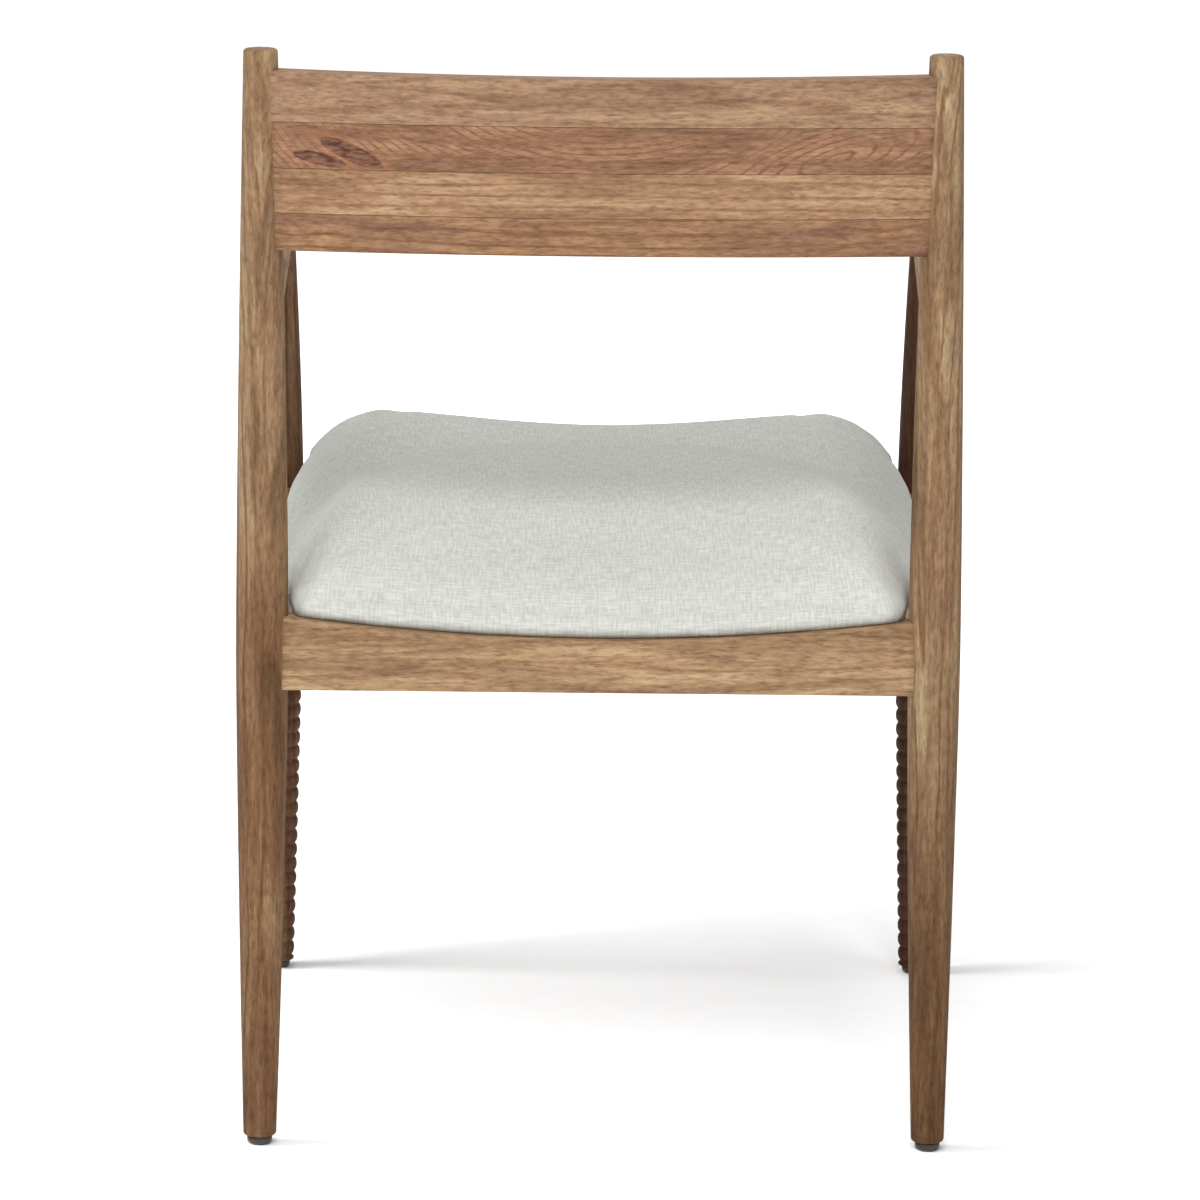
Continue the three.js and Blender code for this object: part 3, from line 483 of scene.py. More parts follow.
def stations_with_round_ends(low, high, count, edge):
    """Heights from low to high, and how much to shrink each radius: quarter circles at the ends."""
    quarter = np.linspace(0, np.pi / 2, 7)
    end_height = edge * (1 - np.cos(quarter))[:-1]
    end_shrink = edge * (1 - np.sin(quarter))[:-1]
    middle = np.linspace(low + edge, high - edge, count)
    heights = np.concatenate([low + end_height, middle, (high - end_height)[::-1]])
    shrink = np.concatenate([end_shrink, np.zeros(count), end_shrink[::-1]])
    return heights, shrink


for name, side in SIDES.items():
    z, shrink = stations_with_round_ends(LEG_BOTTOM, CHAIR_TOP, 90, END_RADIUS)
    rings = round_rings(side * post_x(z), post_y(z), z, post_radius(z) - shrink, ROUND_COUNT)
    wood = wood_post_left if side > 0 else wood_post_right
    closed_piece(f"rear_post_{name}", rings, wood, [f"rear_leg_{name}"])

# %% [markdown]
# ## Beaded front legs
#
# Below the seat each front leg is turned into a row of 28 rounded beads, one against the next.
# A turner cuts the line between two beads with the point of a skew chisel. So the radius falls
# by a power of the distance from the bead's middle: round on the crest, sharp in the groove.

# %% Front legs
BEADS = 28
STATIONS_PER_BEAD = 12
BEAD_GROOVE = 2.2 * MM
BEADS_LOW = LEG_BOTTOM + 4 * MM
BEADS_HIGH = RAIL_BOTTOM - 5 * MM
BEAD_PITCH = (BEADS_HIGH - BEADS_LOW) / BEADS
# The front legs get painted shade: the wood's colour is darkened on the side that faces the seat, standing
# in for the shade there.
SHADED_BAND = (FRONT_Y - 12 * MM, FRONT_Y - 1 * MM)  # painted shade on the side that faces the seat, where less light falls
LEG_PAINTED_SHADE = {"left": ((3.1, 5.2, 1.4), "#cdbbb9"), "right": ((1.1, 4.2, 3.4), "#a38c88")}
wood_legs = {}
for name, (shift, painted_shade_tint) in LEG_PAINTED_SHADE.items():
    wood_legs[name] = oiled_mango(f"oiled_mango_{name}_front_leg", 2, POST_TONES, (0.0, -0.3, 0.3),
                                  (LONG, 9 * MM), shift, shade=(painted_shade_tint, "Y", *SHADED_BAND))


def beaded_radius(z):
    """The tapered radius, less the groove depth times |2s - 1| ** 2.6, s being the place in a bead."""
    place_in_bead = np.mod((z - BEADS_LOW) / BEAD_PITCH, 1)
    beaded = (z >= BEADS_LOW) & (z <= BEADS_HIGH + 1e-6)
    groove = BEAD_GROOVE * np.abs(2 * place_in_bead - 1) ** 2.6
    return leg_radius(z) - np.where(beaded, groove, 0)


for name, side in SIDES.items():
    low_end, low_shrink = stations_with_round_ends(LEG_BOTTOM, BEADS_LOW + 1e-5, 2, 1.5 * MM)
    beads = np.linspace(BEADS_LOW, BEADS_HIGH, BEADS * STATIONS_PER_BEAD + 1)
    smooth = np.linspace(BEADS_HIGH + 0.8 * MM, ARM_UNDERSIDE, 30)
    z = np.concatenate([low_end[:7], beads, smooth])
    shrink = np.concatenate([low_shrink[:7], np.zeros(len(beads) + len(smooth))])
    x = np.full(len(z), side * FRONT_X)
    y = np.full(len(z), FRONT_Y)
    rings = round_rings(x, y, z, beaded_radius(z) - shrink, 56)
    closed_piece(f"beaded_front_leg_{name}", rings, wood_legs[name], [f"front_leg_{name}"])
print("bead pitch, mm:", round(BEAD_PITCH / MM, 2))

# %% [markdown]
# ## Bars with eased edges
#
# Slat staves and rails are flat bars. Sandpaper rounds a bar's edges by one or two millimetres,
# and that narrow curve is what catches the light. The section is a rectangle with a quarter
# circle at each corner, and a few extra points near the curves keep the flat faces flat.


# %% Bar section
def bar_section(half_depth, low_ease, high_ease):
    """Points round a bar: depth across, and a height share from 0 to 1 plus an offset in metres.
    It runs anticlockwise seen from the end that the bar grows to."""
    quarter = np.linspace(0, np.pi / 2, 6)
    flat = np.array([0.04, 0.15, 0.35, 0.65, 0.85, 0.96])
    parts = []
    corner = [(1, 0, low_ease, -np.pi / 2), (1, 1, high_ease, 0.0),
              (-1, 1, high_ease, np.pi / 2), (-1, 0, low_ease, np.pi)]
    for sign, share, ease, start in corner:
        middle_offset = ease if share == 0 else -ease
        depth = sign * (half_depth - ease) + ease * np.cos(start + quarter)
        offset = middle_offset + ease * np.sin(start + quarter)
        parts.append(np.stack([depth, np.full(6, float(share)), offset], axis=-1))
    joined = []
    for this, following in zip(parts, parts[1:] + parts[:1]):
        joined.append(this)
        joined.append(this[-1] + flat[:, None] * (following[0] - this[-1]))
    return np.concatenate(joined)


def bar_rings(x, y, low, high, section, depth_x, depth_y):
    """Rings along a bar. Middle (x, y), heights low and high at each station, and the plan
    direction (depth_x, depth_y) in which the section's depth is laid."""
    depth, share, offset = section.T
    z = low[:, None] + (high - low)[:, None] * share + offset
    ring_x = x[:, None] + depth * depth_x
    ring_y = y[:, None] + depth * depth_y
    return np.stack([ring_x, ring_y, z], axis=-1)


BAR_STATIONS = 61
print("points in a bar's section:", len(bar_section(10 * MM, MM, MM)))

# %% [markdown]
# ## Back slat
#
# The slat is glued up from four staves, and each keeps its own grain. The top one is calm, the
# second swirls round two dark knots, the third is pale and straight, the lowest has an orange
# streak. The whole slat bows backwards, and its top edge is a touch hollow.
#
# Each stave runs on into the posts, so the line where it meets the round post comes out of the
# two surfaces by itself.

# %% Slat staves
SLAT_HALF = 10 * MM
SLAT_BOW = 18 * MM
SLAT_TOP_DIP = 2.6 * MM
SLAT_BURIED = 9 * MM
SLAT_EASE = 2 * MM
GLUE_LINE_EASE = 0.12 * MM
stave_low = [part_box(f"back_slat_stave_{i}")[0].z for i in (1, 2, 3, 4)]
stave_high = [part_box(f"back_slat_stave_{i}")[1].z for i in (1, 2, 3, 4)]
SLAT_SPAN = post_x(stave_low[0])

TOP_TONES = ("#846851", "#9b7d65", "#a3866b", "#ac9171")
SWIRL_TONES = ("#765542", "#906d55", "#9c785f", "#a8886a")
PALE_TONES = ("#88684e", "#9c7b5e", "#a88868", "#b39677")
LOW_TONES = ("#705140", "#8c6a53", "#987759", "#aa865e")
EYE_X, EYE_Z = -0.172, 0.762
eye_y = float(post_y(EYE_Z)) + SLAT_HALF + SLAT_BOW * (1 - (EYE_X / SLAT_SPAN) ** 2)
stave_wood = [
    oiled_mango("oiled_mango_stave_low", 0, LOW_TONES, (-0.1, 0.26, 0.62),
                (0.9, 11 * MM), (0.7, 1.9, 3.3), figure=0.45, warp=1.3),
    oiled_mango("oiled_mango_stave_pale", 0, PALE_TONES, (0.0, 0.3, 0.6),
                (LONG, 9 * MM), (5.1, 2.2, 0.9), figure=0.4, warp=0.7),
    oiled_mango("oiled_mango_stave_swirl", 0, SWIRL_TONES, (EYE_X, eye_y, EYE_Z),
                (20 * MM, 5 * MM), (2.6, 4.4, 1.2), figure=0.5, warp=1.1, lean=math.radians(20),
                bowl=(0.0, 0.97, 5 * MM, 42),
                knots=((0.184, 0.7625, 26 * MM, 6.5 * MM, 24), (0.208, 0.7575, 20 * MM, 4.8 * MM, 12))),
    oiled_mango("oiled_mango_stave_top", 0, TOP_TONES, (0.3, 0.25, 0.86),
                (0.8, 12 * MM), (8.3, 1.4, 2.7), figure=0.35, warp=1.4),
]


def slat_y(x, z):
    """The post line's y plus the bow times (1 - (x / span) squared)."""
    return post_y(z) + SLAT_BOW * (1 - (x / SLAT_SPAN) ** 2)


for i in range(4):
    is_top = i == 3
    half = SLAT_SPAN - float(post_radius(stave_low[i])) + SLAT_BURIED
    x = np.linspace(-half, half, BAR_STATIONS)
    dip = SLAT_TOP_DIP * (1 - (x / SLAT_SPAN) ** 2) if is_top else 0
    low_ease = SLAT_EASE if i == 0 else GLUE_LINE_EASE
    high_ease = SLAT_EASE if is_top else GLUE_LINE_EASE
    section = bar_section(SLAT_HALF, low_ease, high_ease)
    low = np.full(BAR_STATIONS, stave_low[i])
    high = np.full(BAR_STATIONS, stave_high[i]) - dip
    rings = bar_rings(x, np.zeros(BAR_STATIONS), low, high, section, 0.0, 1.0)
    rings[:, :, 1] += slat_y(rings[:, :, 0], rings[:, :, 2])
    closed_piece(f"slat_stave_{i + 1}", rings[:, ::-1], stave_wood[i],
                 [f"back_slat_stave_{i + 1}"])

# %% [markdown]
# ## Seat rails
#
# Four rails tie the posts together. The front and rear ones are sawn hollow along the top, and
# the seat lies in that hollow. The side rails are straight.

# %% Rails
RAIL_HALF = 11 * MM
RAIL_DIP = 18 * MM
DISH_SPAN = post_x(RAIL_TOP)
RAIL_EASE = 2 * MM
RAIL_TONES = ("#84674c", "#a08364", "#b39673", "#c0a783")
wood_rail = oiled_mango("oiled_mango_cross_rails", 0, RAIL_TONES, (0.12, 0.29, 0.33),
                        (0.5, 9 * MM), (6.4, 3.6, 0.2), figure=0.4, warp=1.5)
wood_side_rail = oiled_mango("oiled_mango_side_rails", 1, RAIL_TONES, (0.2, 0.1, 0.2),
                             (LONG, 10 * MM), (2.4, 0.8, 5.6), figure=0.4)


def dish(x):
    """Height of the hollow: the rails' top, less the dip times (1 - (x / span) squared)."""
    return RAIL_TOP - RAIL_DIP * (1 - (x / DISH_SPAN) ** 2)


def rail_piece(name, start, end, material):
    """A rail from one plan point to another, flat below and following the dish above."""
    x, y = np.linspace(start, end, BAR_STATIONS).T
    step = np.subtract(end, start)
    across = (step[1], -step[0]) / np.hypot(*step)
    section = bar_section(RAIL_HALF, RAIL_EASE, RAIL_EASE)
    rings = bar_rings(x, y, np.full(BAR_STATIONS, RAIL_BOTTOM), dish(x), section, *across)
    closed_piece(name, rings, material, [name])


RAIL_BURIED = 7 * MM
rear_half = DISH_SPAN - float(post_radius(SEAT_Z)) + RAIL_BURIED
front_half = FRONT_X - float(leg_radius(SEAT_Z)) + RAIL_BURIED
for name, half in (("rear_rail", rear_half), ("front_rail", front_half)):
    low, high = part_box(name)
    y = (low.y + high.y) / 2
    rail_piece(name, (-half, y), (half, y), wood_rail)
SIDE_RAIL_INSET = 6 * MM
SIDE_RAIL_ENDS = (14 * MM, 13 * MM)  # from the front leg's middle, and from the rear post's
seat_post_y = float(post_y(SEAT_Z))
for name, side in SIDES.items():
    start = (side * (FRONT_X - SIDE_RAIL_INSET), FRONT_Y + SIDE_RAIL_ENDS[0])
    end = (side * (DISH_SPAN - SIDE_RAIL_INSET), seat_post_y - SIDE_RAIL_ENDS[1])
    rail_piece(f"side_rail_{name}", start, end, wood_side_rail)

# %% [markdown]
# ## Armrests
#
# Each armrest is a flat stick with well rounded edges. It is narrow where it meets the post and
# broad over the front leg, and its nose is rounded like a fingertip. The section is a
# superellipse, |x| ** 3.2 + |z| ** 3.2 = 1, halfway between a circle and a box.

# %% Armrests
arm_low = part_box("armrest_left")[0]
ARM_HALF_THICK = 12 * MM
ARM_MIDDLE = ARM_UNDERSIDE + ARM_HALF_THICK
ARM_HALF_WIDTHS = (15 * MM, 21.5 * MM)  # at the post and over the front leg
ARM_OUTWARD = 7 * MM
ARM_SQUARENESS = 3.2
ARM_POINTS = 56
wood_arm = oiled_mango("oiled_mango_armrests", 1, RAIL_TONES, (0.25, -0.1, 0.6),
                       (LONG, 9 * MM), (0.3, 6.1, 4.4), figure=0.45)


def armrest_rings(side):
    """Sections across y from the post to the nose. The nose shrinks as sqrt(1 - s squared)."""
    rear_y = float(post_y(ARM_MIDDLE))
    nose_y = arm_low.y
    rear_half, front_half = ARM_HALF_WIDTHS
    share_to_nose = np.sin(np.linspace(0, np.pi / 2, 16))
    straight = np.linspace(rear_y, nose_y + front_half, 40)[:-1]
    y = np.concatenate([straight, nose_y + front_half * (1 - share_to_nose)])
    full = np.concatenate([np.ones(len(straight)), np.sqrt(np.clip(1 - share_to_nose ** 2, 0.004, 1))])
    share = (rear_y - y) / (rear_y - FRONT_Y)
    middle = post_x(ARM_MIDDLE) + (FRONT_X + ARM_OUTWARD - post_x(ARM_MIDDLE)) * share
    half_width = (rear_half + (front_half - rear_half) * np.clip(share, 0, 1)) * full
    half_thick = ARM_HALF_THICK * np.sqrt(full)
    lift = (ARM_HALF_THICK - half_thick) / 2
    angle = 2 * np.pi * np.arange(ARM_POINTS) / ARM_POINTS
    round_x = np.sign(np.cos(angle)) * np.abs(np.cos(angle)) ** (2 / ARM_SQUARENESS)
    round_z = np.sign(np.sin(angle)) * np.abs(np.sin(angle)) ** (2 / ARM_SQUARENESS)
    x = side * middle[:, None] + half_width[:, None] * round_x
    z = ARM_MIDDLE + lift[:, None] + half_thick[:, None] * round_z
    return np.stack([x, np.repeat(y[:, None], ARM_POINTS, axis=1), z], axis=-1)


for name, side in SIDES.items():
    closed_piece(f"arm_{name}", armrest_rings(side), wood_arm, [f"armrest_{name}"])

# %% [markdown]
# ## Glides
#
# A dark domed glide is nailed under each foot. It is moulded plastic, so it has soft edges and
# an even satin surface with a very fine grain.

# %% Glides
material, tree, shader = new_material("moulded_polypropylene_glides")
place = add(tree, "TexCoord", output="Object")
grit = add(tree, "TexNoise", {"Scale": 1 / (0.8 * MM), "Detail": 2.0}, {"Vector": place})
moulded = ramp(tree, grit, [(0.3, "#26221e"), (0.7, "#322d28")])
bump = add(tree, "Bump", {"Strength": 0.2, "Distance": 0.1 * MM}, {"Height": grit})
feed(tree, shader, {"Roughness": 0.45}, {"Base Color": moulded, "Normal": bump})

GLIDE_FLAT = 6 * MM
GLIDE_DOME = 4 * MM
GLIDE_EASE = 0.5 * MM
for foot in ("rear_left", "rear_right", "front_left", "front_right"):
    low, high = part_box(f"glide_{foot}")
    middle = (low + high) / 2
    radius = (high.x - low.x) / 2
    bulge = np.linspace(0, np.pi / 2, 10)
    domed = GLIDE_FLAT + (radius - GLIDE_FLAT) * np.sin(bulge)
    r = np.concatenate([[GLIDE_FLAT], domed, [radius, radius - GLIDE_EASE]])
    z = np.concatenate([[0], GLIDE_DOME * (1 - np.cos(bulge)), [high.z - GLIDE_EASE, high.z]])
    count = len(z)
    rings = round_rings(np.full(count, middle.x), np.full(count, middle.y), z, r, 48)
    closed_piece(f"foot_glide_{foot}", rings, material, [f"glide_{foot}"])

# %% [markdown]
# ## Linen
#
# The seat is covered in a plain-woven linen blend, pale grey with a touch of green. Each yarn
# varies along its length, so threads in both directions come out lighter and darker and give
# the cloth its heathered look. The cloth has its own coordinates, u across the chair and v from
# front to back and down over the edges, so that the threads follow the surface.

# %% Linen material
YARN = 1.3 * MM  # real yarns lie 0.8 mm apart, drawn wider so that the weave shows


def linen_material():
    """Heathered shade from slubs in both threads, and a ridge per thread for the bump."""
    material, tree, shader = new_material("woven_linen_blend")
    place = add(tree, "Attribute", {"attribute_name": "cloth_place"}, output="Vector")
    across = add(tree, "Mapping", {"Scale": (1 / 9, 1, 1)}, {"Vector": place})
    down = add(tree, "Mapping", {"Location": (3.7, 1.9, 0), "Scale": (1, 1 / 9, 1)}, {"Vector": place})
    slubs_u = add(tree, "TexNoise", {"noise_dimensions": "2D", "Scale": 0.8 / YARN, "Detail": 2.0},
                  {"Vector": across})
    slubs_v = add(tree, "TexNoise", {"noise_dimensions": "2D", "Scale": 0.8 / YARN, "Detail": 2.0},
                  {"Vector": down})
    heather = add(tree, "Math", {"operation": "ADD"}, {0: slubs_u, 1: slubs_v})
    shade = add(tree, "Math", {"operation": "MULTIPLY", 1: 0.5}, {0: heather})
    cloth = ramp(tree, shade, [(0.36, "#b1b2ab"), (0.5, "#bebfb9"), (0.64, "#cacbc6")])
    # yarns: a ridge per thread in each direction
    ridges = []
    for axis in ("X", "Y"):
        turns = add(tree, "Math", {"operation": "MULTIPLY", 1: 2 * math.pi / YARN},
                    {0: add(tree, "SeparateXYZ", links={"Vector": place}, output=axis)})
        ridges.append(add(tree, "Math", {"operation": "SINE"}, {0: turns}))
    weave = add(tree, "Math", {"operation": "MULTIPLY"}, {0: ridges[0], 1: ridges[1]})
    tight = add(tree, "MapRange", {"From Min": -1.0, "From Max": 1.0, "To Min": 0.9, "To Max": 1.0},
                {"Value": weave})
    colour = add(tree, "Mix", {**TINT, 0: 1.0}, {6: cloth, 7: tight}, output=2)
    height = add(tree, "Math", {"operation": "ADD"}, {0: weave, 1: heather})
    bump = add(tree, "Bump", {"Strength": 0.5, "Distance": 0.3 * MM}, {"Height": height})
    feed(tree, shader, {"Roughness": 0.92, "Specular IOR Level": 0.2, "Sheen Weight": 0.12,
                        "Sheen Roughness": 0.4}, {"Base Color": colour, "Normal": bump})
    return material


linen = linen_material()
print("yarn spacing as drawn, mm:", YARN / MM)

# %% [markdown]
# ## Seat cushion
#
# The seat is a foam pad on a dished board, with the linen pulled over it and stapled below. Foam
# swells against its cover, so the pad is crowned and its edges roll over softly. The start shape
# is a smaller pad. Its outline is a box with rounded corners and swelled sides, its top rolls
# over by a power curve, and its bottom edge tucks under.
#
# Then cloth simulation blows it up like a balloon from inside, with its base held on the board.

# %% Cushion start shape
seat_low, seat_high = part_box("seat_cover")
SEAT_FRONT_Y = seat_low.y
SEAT_REAR_Y = seat_high.y
SEAT_MIDDLE_Y = (SEAT_FRONT_Y + SEAT_REAR_Y) / 2
SEAT_GAP = 1.2 * MM  # to the posts and legs that the corners pass
SEAT_REAR_HALF = DISH_SPAN - float(post_radius(RAIL_TOP)) - SEAT_GAP
SEAT_FRONT_HALF = FRONT_X - float(leg_radius(RAIL_TOP)) - SEAT_GAP
SIDE_BULGE = 15 * MM
CORNER = 9 * MM
PAD_HEIGHT = 86 * MM
SIDE_HEIGHT = 20 * MM
SIDE_ROLL = 56 * MM
REAR_ROLL = (60 * MM, 200 * MM)  # how far the rear edge rolls over, at the corners and the middle
FRONT_ROLL = 70 * MM
ROLL_POWER = 2.1


def half_width(y):
    """Half the seat's width: a straight taper from rear to front plus a bulge 4 s (1 - s)."""
    share = np.clip((y - SEAT_REAR_Y) / (SEAT_FRONT_Y - SEAT_REAR_Y), 0, 1)
    straight = SEAT_REAR_HALF + (SEAT_FRONT_HALF - SEAT_REAR_HALF) * share
    return straight + SIDE_BULGE * 4 * share * (1 - share)


def edge_distance(x, y, inset=0.0):
    """Distance from a plan point to the rounded outline, positive inside it."""
    over_x = np.abs(x) - (half_width(y) - inset - CORNER)
    over_y = np.abs(y - SEAT_MIDDLE_Y) - ((SEAT_REAR_Y - SEAT_FRONT_Y) / 2 - inset - CORNER)
    outside = np.hypot(np.maximum(over_x, 0), np.maximum(over_y, 0))
    return CORNER - outside - np.minimum(np.maximum(over_x, over_y), 0)


def outline(inset, count):
    """The outline's points on rays from the seat's middle, found by halving all rays at once."""
    angle = 2 * np.pi * (np.arange(count) + 0.5) / count
    near = np.zeros(count)
    far = np.ones(count)
    for _ in range(30):
        middle = (near + far) / 2
        inside = edge_distance(middle * np.cos(angle), SEAT_MIDDLE_Y + middle * np.sin(angle), inset) > 0
        near = np.where(inside, middle, near)
        far = np.where(inside, far, middle)
    return near * np.cos(angle), near * np.sin(angle)


def roll_over(distance, roll):
    """A quarter of a superellipse: (1 - (1 - d / roll) ** p) ** (1 / p), from 0 at the edge to 1."""
    share = np.clip(distance / roll, 0, 1)
    return (1 - (1 - share) ** ROLL_POWER) ** (1 / ROLL_POWER)


def rolled(x, y, inset):
    """Height over the dish: side + (full - side) times the roll from the sides, from the rear and
    from the front. The product leaves soft hips at the corners instead of mitred ones."""
    rear_roll = REAR_ROLL[0] + (REAR_ROLL[1] - REAR_ROLL[0]) * (1 - (x / SEAT_REAR_HALF) ** 2)
    from_side = roll_over(half_width(y) - inset - np.abs(x), SIDE_ROLL)
    from_rear = roll_over(SEAT_REAR_Y - inset - y, np.maximum(rear_roll, REAR_ROLL[0]))
    from_front = roll_over(y - SEAT_FRONT_Y - inset, FRONT_ROLL)
    return SIDE_HEIGHT + (PAD_HEIGHT - SIDE_HEIGHT) * from_side * from_rear * from_front


START_INSET = 0.8 * MM
START_DROP = 11 * MM
BASE_LIFT = 1.0 * MM
TUCK = 4.5 * MM


def cushion_rings(count):
    """Rings from the middle of the base out to the edge, round the tuck, and up over the top."""
    edge_x, edge_y = outline(START_INSET, count)
    reach = np.hypot(edge_x, edge_y)
    base = np.linspace(0.04, 1, 30)
    tucked = 1 - TUCK / reach
    rings = [np.stack([edge_x * s * tucked, edge_y * s * tucked, np.zeros(count)], axis=-1) for s in base]
    for angle in np.linspace(0, np.pi / 2, 8)[1:]:
        scale = 1 - TUCK * (1 - np.sin(angle)) / reach
        height = np.full(count, (SIDE_HEIGHT - START_DROP) * (1 - np.cos(angle)))
        rings.append(np.stack([edge_x * scale, edge_y * scale, height], axis=-1))
    for scale in np.sin(np.linspace(np.pi / 2, 0, 46))[1:-1]:
        x = edge_x * scale
        y = edge_y * scale
        height = rolled(x, y + SEAT_MIDDLE_Y, START_INSET) - START_DROP
        rings.append(np.stack([x, y, height], axis=-1))
    rings = np.stack(rings)
    rings[:, :, 1] += SEAT_MIDDLE_Y
    rings[:, :, 2] += dish(rings[:, :, 0]) + BASE_LIFT
    return rings


cushion = closed_piece("seat_cushion", cushion_rings(160), linen, ["seat_cover", "seat_foam"])


# %% Board inside the cushion
BOARD_INSET = 24 * MM
BOARD_THICK = 10 * MM
BOARD_LIFT = 4 * MM


def board_rings(count):
    """Rings over the plywood board: out along its underside, up its edge and back along its top."""
    edge_x, edge_y = outline(BOARD_INSET, count)
    outward = np.linspace(0.05, 1, 20)
    scales = np.concatenate([outward, outward[::-1]])
    heights = np.repeat([BOARD_LIFT, BOARD_LIFT + BOARD_THICK], len(outward))
    x = scales[:, None] * edge_x
    y = scales[:, None] * edge_y + SEAT_MIDDLE_Y
    return np.stack([x, y, dish(x) + heights[:, None]], axis=-1)


# %% Blow the cushion up
def positions(mesh):
    """All vertices of a mesh as one array, a row each."""
    flat = np.empty(len(mesh.vertices) * 3)
    mesh.vertices.foreach_get("co", flat)
    return flat.reshape(-1, 3)


def apply_modifier(piece, kind, settings):
    """Adds a modifier with its settings and applies it straight away."""
    modifier = piece.modifiers.new(kind.lower(), kind)
    for key, value in settings.items():
        setattr(modifier, key, value)
    bpy.context.view_layer.objects.active = piece
    bpy.ops.object.modifier_apply(modifier=modifier.name)


BALLOON = {"use_pressure": True, "uniform_pressure_force": 4.0, "vertex_group_mass": "held", "quality": 5,
           "tension_stiffness": 12, "compression_stiffness": 12, "bending_stiffness": 2}
SWELL_CAP = 9 * MM
HELD_HEIGHT = 12 * MM
SIMULATED_FRAMES = 20
apply_modifier(cushion, "REMESH", {"mode": "VOXEL", "voxel_size": 5 * MM, "use_smooth_shade": True})
start = positions(cushion.data)
held = cushion.vertex_groups.new(name="held")
on_base = np.nonzero(start[:, 2] - dish(start[:, 0]) < HELD_HEIGHT)[0]
held.add(on_base.tolist(), 1.0, "REPLACE")
cloth = cushion.modifiers.new("cloth", "CLOTH")
cloth.settings.effector_weights.gravity = 0
for key, value in BALLOON.items():
    setattr(cloth.settings, key, value)
for frame_number in range(1, SIMULATED_FRAMES + 1):
    bpy.context.scene.frame_set(frame_number)
bpy.context.view_layer.objects.active = cushion
bpy.ops.object.modifier_apply(modifier="cloth")
bpy.context.scene.frame_set(1)
cushion.vertex_groups.clear()
moved = positions(cushion.data) - start
distance = np.linalg.norm(moved, axis=1, keepdims=True)
print("cushion swelled by up to", round(float(distance.max()) / MM, 1), "mm")
capped = start + moved * np.minimum(1, SWELL_CAP / np.maximum(distance, 1e-9))
cushion.data.vertices.foreach_set("co", capped.ravel())
apply_modifier(cushion, "SMOOTH", {"factor": 0.5, "iterations": 6})
apply_modifier(cushion, "SUBSURF", {"levels": 1, "render_levels": 1})
print("cushion faces:", len(cushion.data.polygons))

# %% [markdown]
# After the simulation the pad is fitted into the chair. Points that press into a post or a leg
# are pushed back to its surface, and the base is laid on the dish, with a shallow recess in the
# middle for the black cloth that closes the underside. Last come the cloth coordinates.

# %% Fit the cushion and give it cloth coordinates
POST_GAP = 1.0 * MM
place_now = positions(cushion.data)


def push_out(points, middle_x, middle_y, radius):
    """Moves points that are nearer than radius to a post's line straight out to that radius."""
    line = np.stack([middle_x, middle_y], axis=-1)
    away = points[:, :2] - line
    distance = np.maximum(np.linalg.norm(away, axis=1), 1e-9)
    share = np.maximum(radius / distance, 1)
    points[:, :2] = line + away * share[:, None]


for side in SIDES.values():
    z = place_now[:, 2]
    push_out(place_now, side * post_x(z), post_y(z), post_radius(z) + POST_GAP)
    push_out(place_now, side * FRONT_X, FRONT_Y, leg_radius(z) + POST_GAP)

above_dish = place_now[:, 2] - dish(place_now[:, 0])
inside_edge = edge_distance(place_now[:, 0], place_now[:, 1])
# a soft hollow, where the cover is drawn from each rear corner in an arch across the seat
ARCH_DEPTH = 345 * MM
ARCH_HALF = 228 * MM
HOLLOW = 11 * MM
HOLLOW_WIDTH = 27 * MM
HOLLOW_FADE = 25 * MM
from_rear = SEAT_REAR_Y - place_now[:, 1]
share_x = np.clip(np.abs(place_now[:, 0]) / ARCH_HALF, 0, 1)
arch = ARCH_DEPTH * (1 - share_x ** 3)
slope = 3 * ARCH_DEPTH * share_x ** 2 / ARCH_HALF
outside = (from_rear - arch) / np.sqrt(1 + slope ** 2) - HOLLOW_WIDTH
hollow = HOLLOW * np.exp(-(outside / HOLLOW_WIDTH) ** 2) * share_x
hollow *= np.clip((above_dish - SIDE_HEIGHT) / HOLLOW_FADE, 0, 1)
above_dish -= hollow
BASE_HEIGHT = 6 * MM
BASE_EDGE = 4 * MM
RECESS_EDGE = 33 * MM
RECESS = 3.5 * MM
BASE_GAP = 0.6 * MM
base_level = np.where(inside_edge > RECESS_EDGE, RECESS, BASE_GAP)
is_base = (above_dish < BASE_HEIGHT) & (inside_edge > BASE_EDGE)
above_dish = np.where(is_base, base_level, np.maximum(above_dish, BASE_GAP))
place_now[:, 2] = dish(place_now[:, 0]) + above_dish
cushion.data.vertices.foreach_set("co", place_now.ravel())
cushion.data.update()

drop = PAD_HEIGHT - above_dish
to_side = np.maximum(half_width(place_now[:, 1]) - np.abs(place_now[:, 0]), 1 * MM)
to_end = np.maximum((SEAT_REAR_Y - SEAT_FRONT_Y) / 2 - np.abs(place_now[:, 1] - SEAT_MIDDLE_Y), 1 * MM)
sideways = to_end ** 3 / (to_side ** 3 + to_end ** 3)
cloth_u = place_now[:, 0] + np.sign(place_now[:, 0]) * drop * sideways
cloth_v = place_now[:, 1] + np.sign(place_now[:, 1]) * drop * (1 - sideways)
cloth_place = np.stack([cloth_u, cloth_v, np.zeros(len(cloth_u))], axis=-1)
attribute = cushion.data.attributes.new("cloth_place", "FLOAT_VECTOR", "POINT")
attribute.data.foreach_set("vector", cloth_place.astype(np.float32).ravel())
print("cushion box, mm:", (place_now.min(axis=0) / MM).round(1), (place_now.max(axis=0) / MM).round(1))

# %% [markdown]
# ## Hidden and small parts
#
# The parts under and inside the chair keep their shapes from the frame and get real finishes:
# raw wood for blocks and dowels, plywood for the board, spun cloth below it, zinc on the steel.


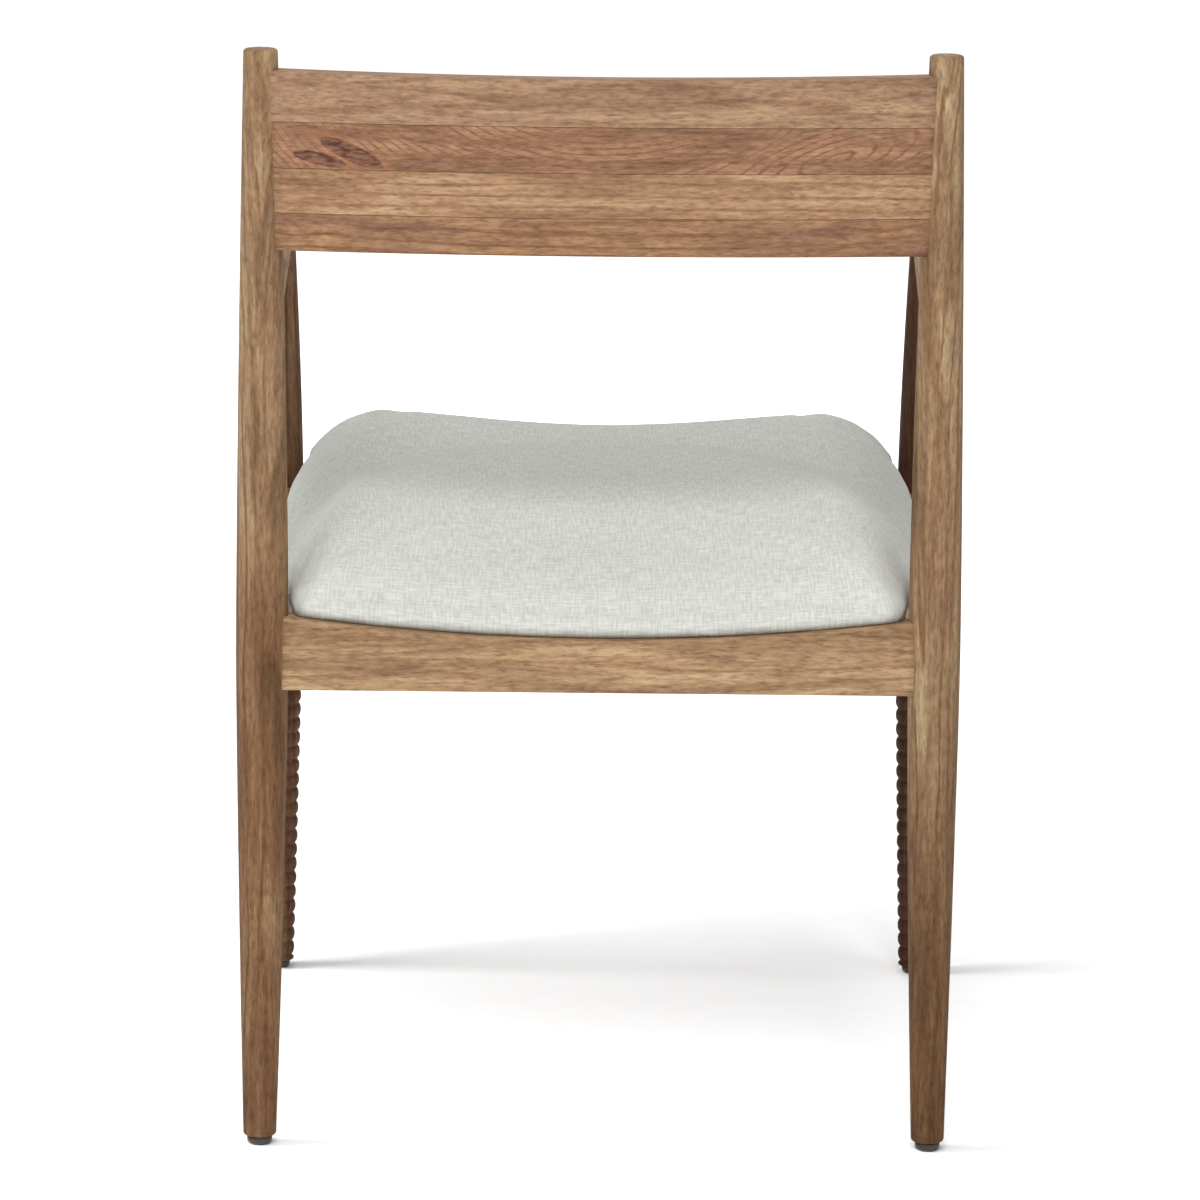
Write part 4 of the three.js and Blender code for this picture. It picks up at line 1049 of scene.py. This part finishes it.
# %% Raw wood, plywood, spun cloth, zinc
def speckled(name, grain_size, stretch, detail, stops, roughness, bump=0.0, metallic=0.0):
    """A finish of one noise: its grains are `grain_size` wide and `stretch` times as long in x."""
    material, tree, shader = new_material(name)
    place = add(tree, "TexCoord", output="Object")
    along = add(tree, "Mapping", {"Scale": (1 / stretch, 1, 1)}, {"Vector": place})
    grains = add(tree, "TexNoise", {"Scale": 1 / grain_size, "Detail": detail}, {"Vector": along})
    rough = add(tree, "MapRange", {"To Min": roughness[0], "To Max": roughness[1]}, {"Value": grains})
    joined = {"Base Color": ramp(tree, grains, stops), "Roughness": rough}
    if bump:
        joined["Normal"] = add(tree, "Bump", {"Strength": bump, "Distance": 0.2 * MM}, {"Height": grains})
    feed(tree, shader, {"Metallic": metallic}, joined)
    return material


# unfinished beech is pale, with short fine flecks and no shine
beech = speckled("raw_beech", 1.2 * MM, 10, 3.0, [(0.35, "#a8825a"), (0.65, "#cdaa80")], (0.75, 0.75), 0.3)
# pressed fibres make an even, dull black
fibres = speckled("black_spun_polypropylene", 1.5 * MM, 1, 4.0, [(0.3, "#161617"), (0.7, "#2c2c2e")],
                  (0.95, 0.95), 0.5)
# zinc crystals give a mottled metal
zinc = speckled("zinc_plated_steel", 2 * MM, 1, 2.0, [(0.3, "#a7a9ab"), (0.7, "#c6c8ca")], (0.25, 0.4),
                metallic=1.0)

# birch plywood shows its plies as bands on the edge
plywood, tree, shader = new_material("birch_plywood")
place = add(tree, "TexCoord", output="Object")
PLY = 3 * MM
plies = add(tree, "TexWave", {"bands_direction": "Z", "Scale": 1 / PLY / 6.28, "Distortion": 0.5},
            {"Vector": place}, output="Fac")
banded = ramp(tree, plies, [(0.3, "#a98862"), (0.7, "#d2b68f")])
feed(tree, shader, {"Roughness": 0.7}, {"Base Color": banded})

# %% Dress the small parts
closed_piece("plywood_seat_board", board_rings(120), plywood, ["seat_board"])
finishes = {"dowel": beech, "corner_block": beech, "seat_board": plywood, "dust_cover": fibres,
            "screw": zinc, "nail": zinc}
for node_name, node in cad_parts.items():
    matching = [finish for word, finish in finishes.items() if word in node_name]
    if not matching:
        continue
    if not node.material_slots:
        node.data.materials.append(matching[0])
    for material_slot in node.material_slots:
        material_slot.material = matching[0]
print("pieces shown from the frame:", sum(not node.hide_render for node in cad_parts.values()))
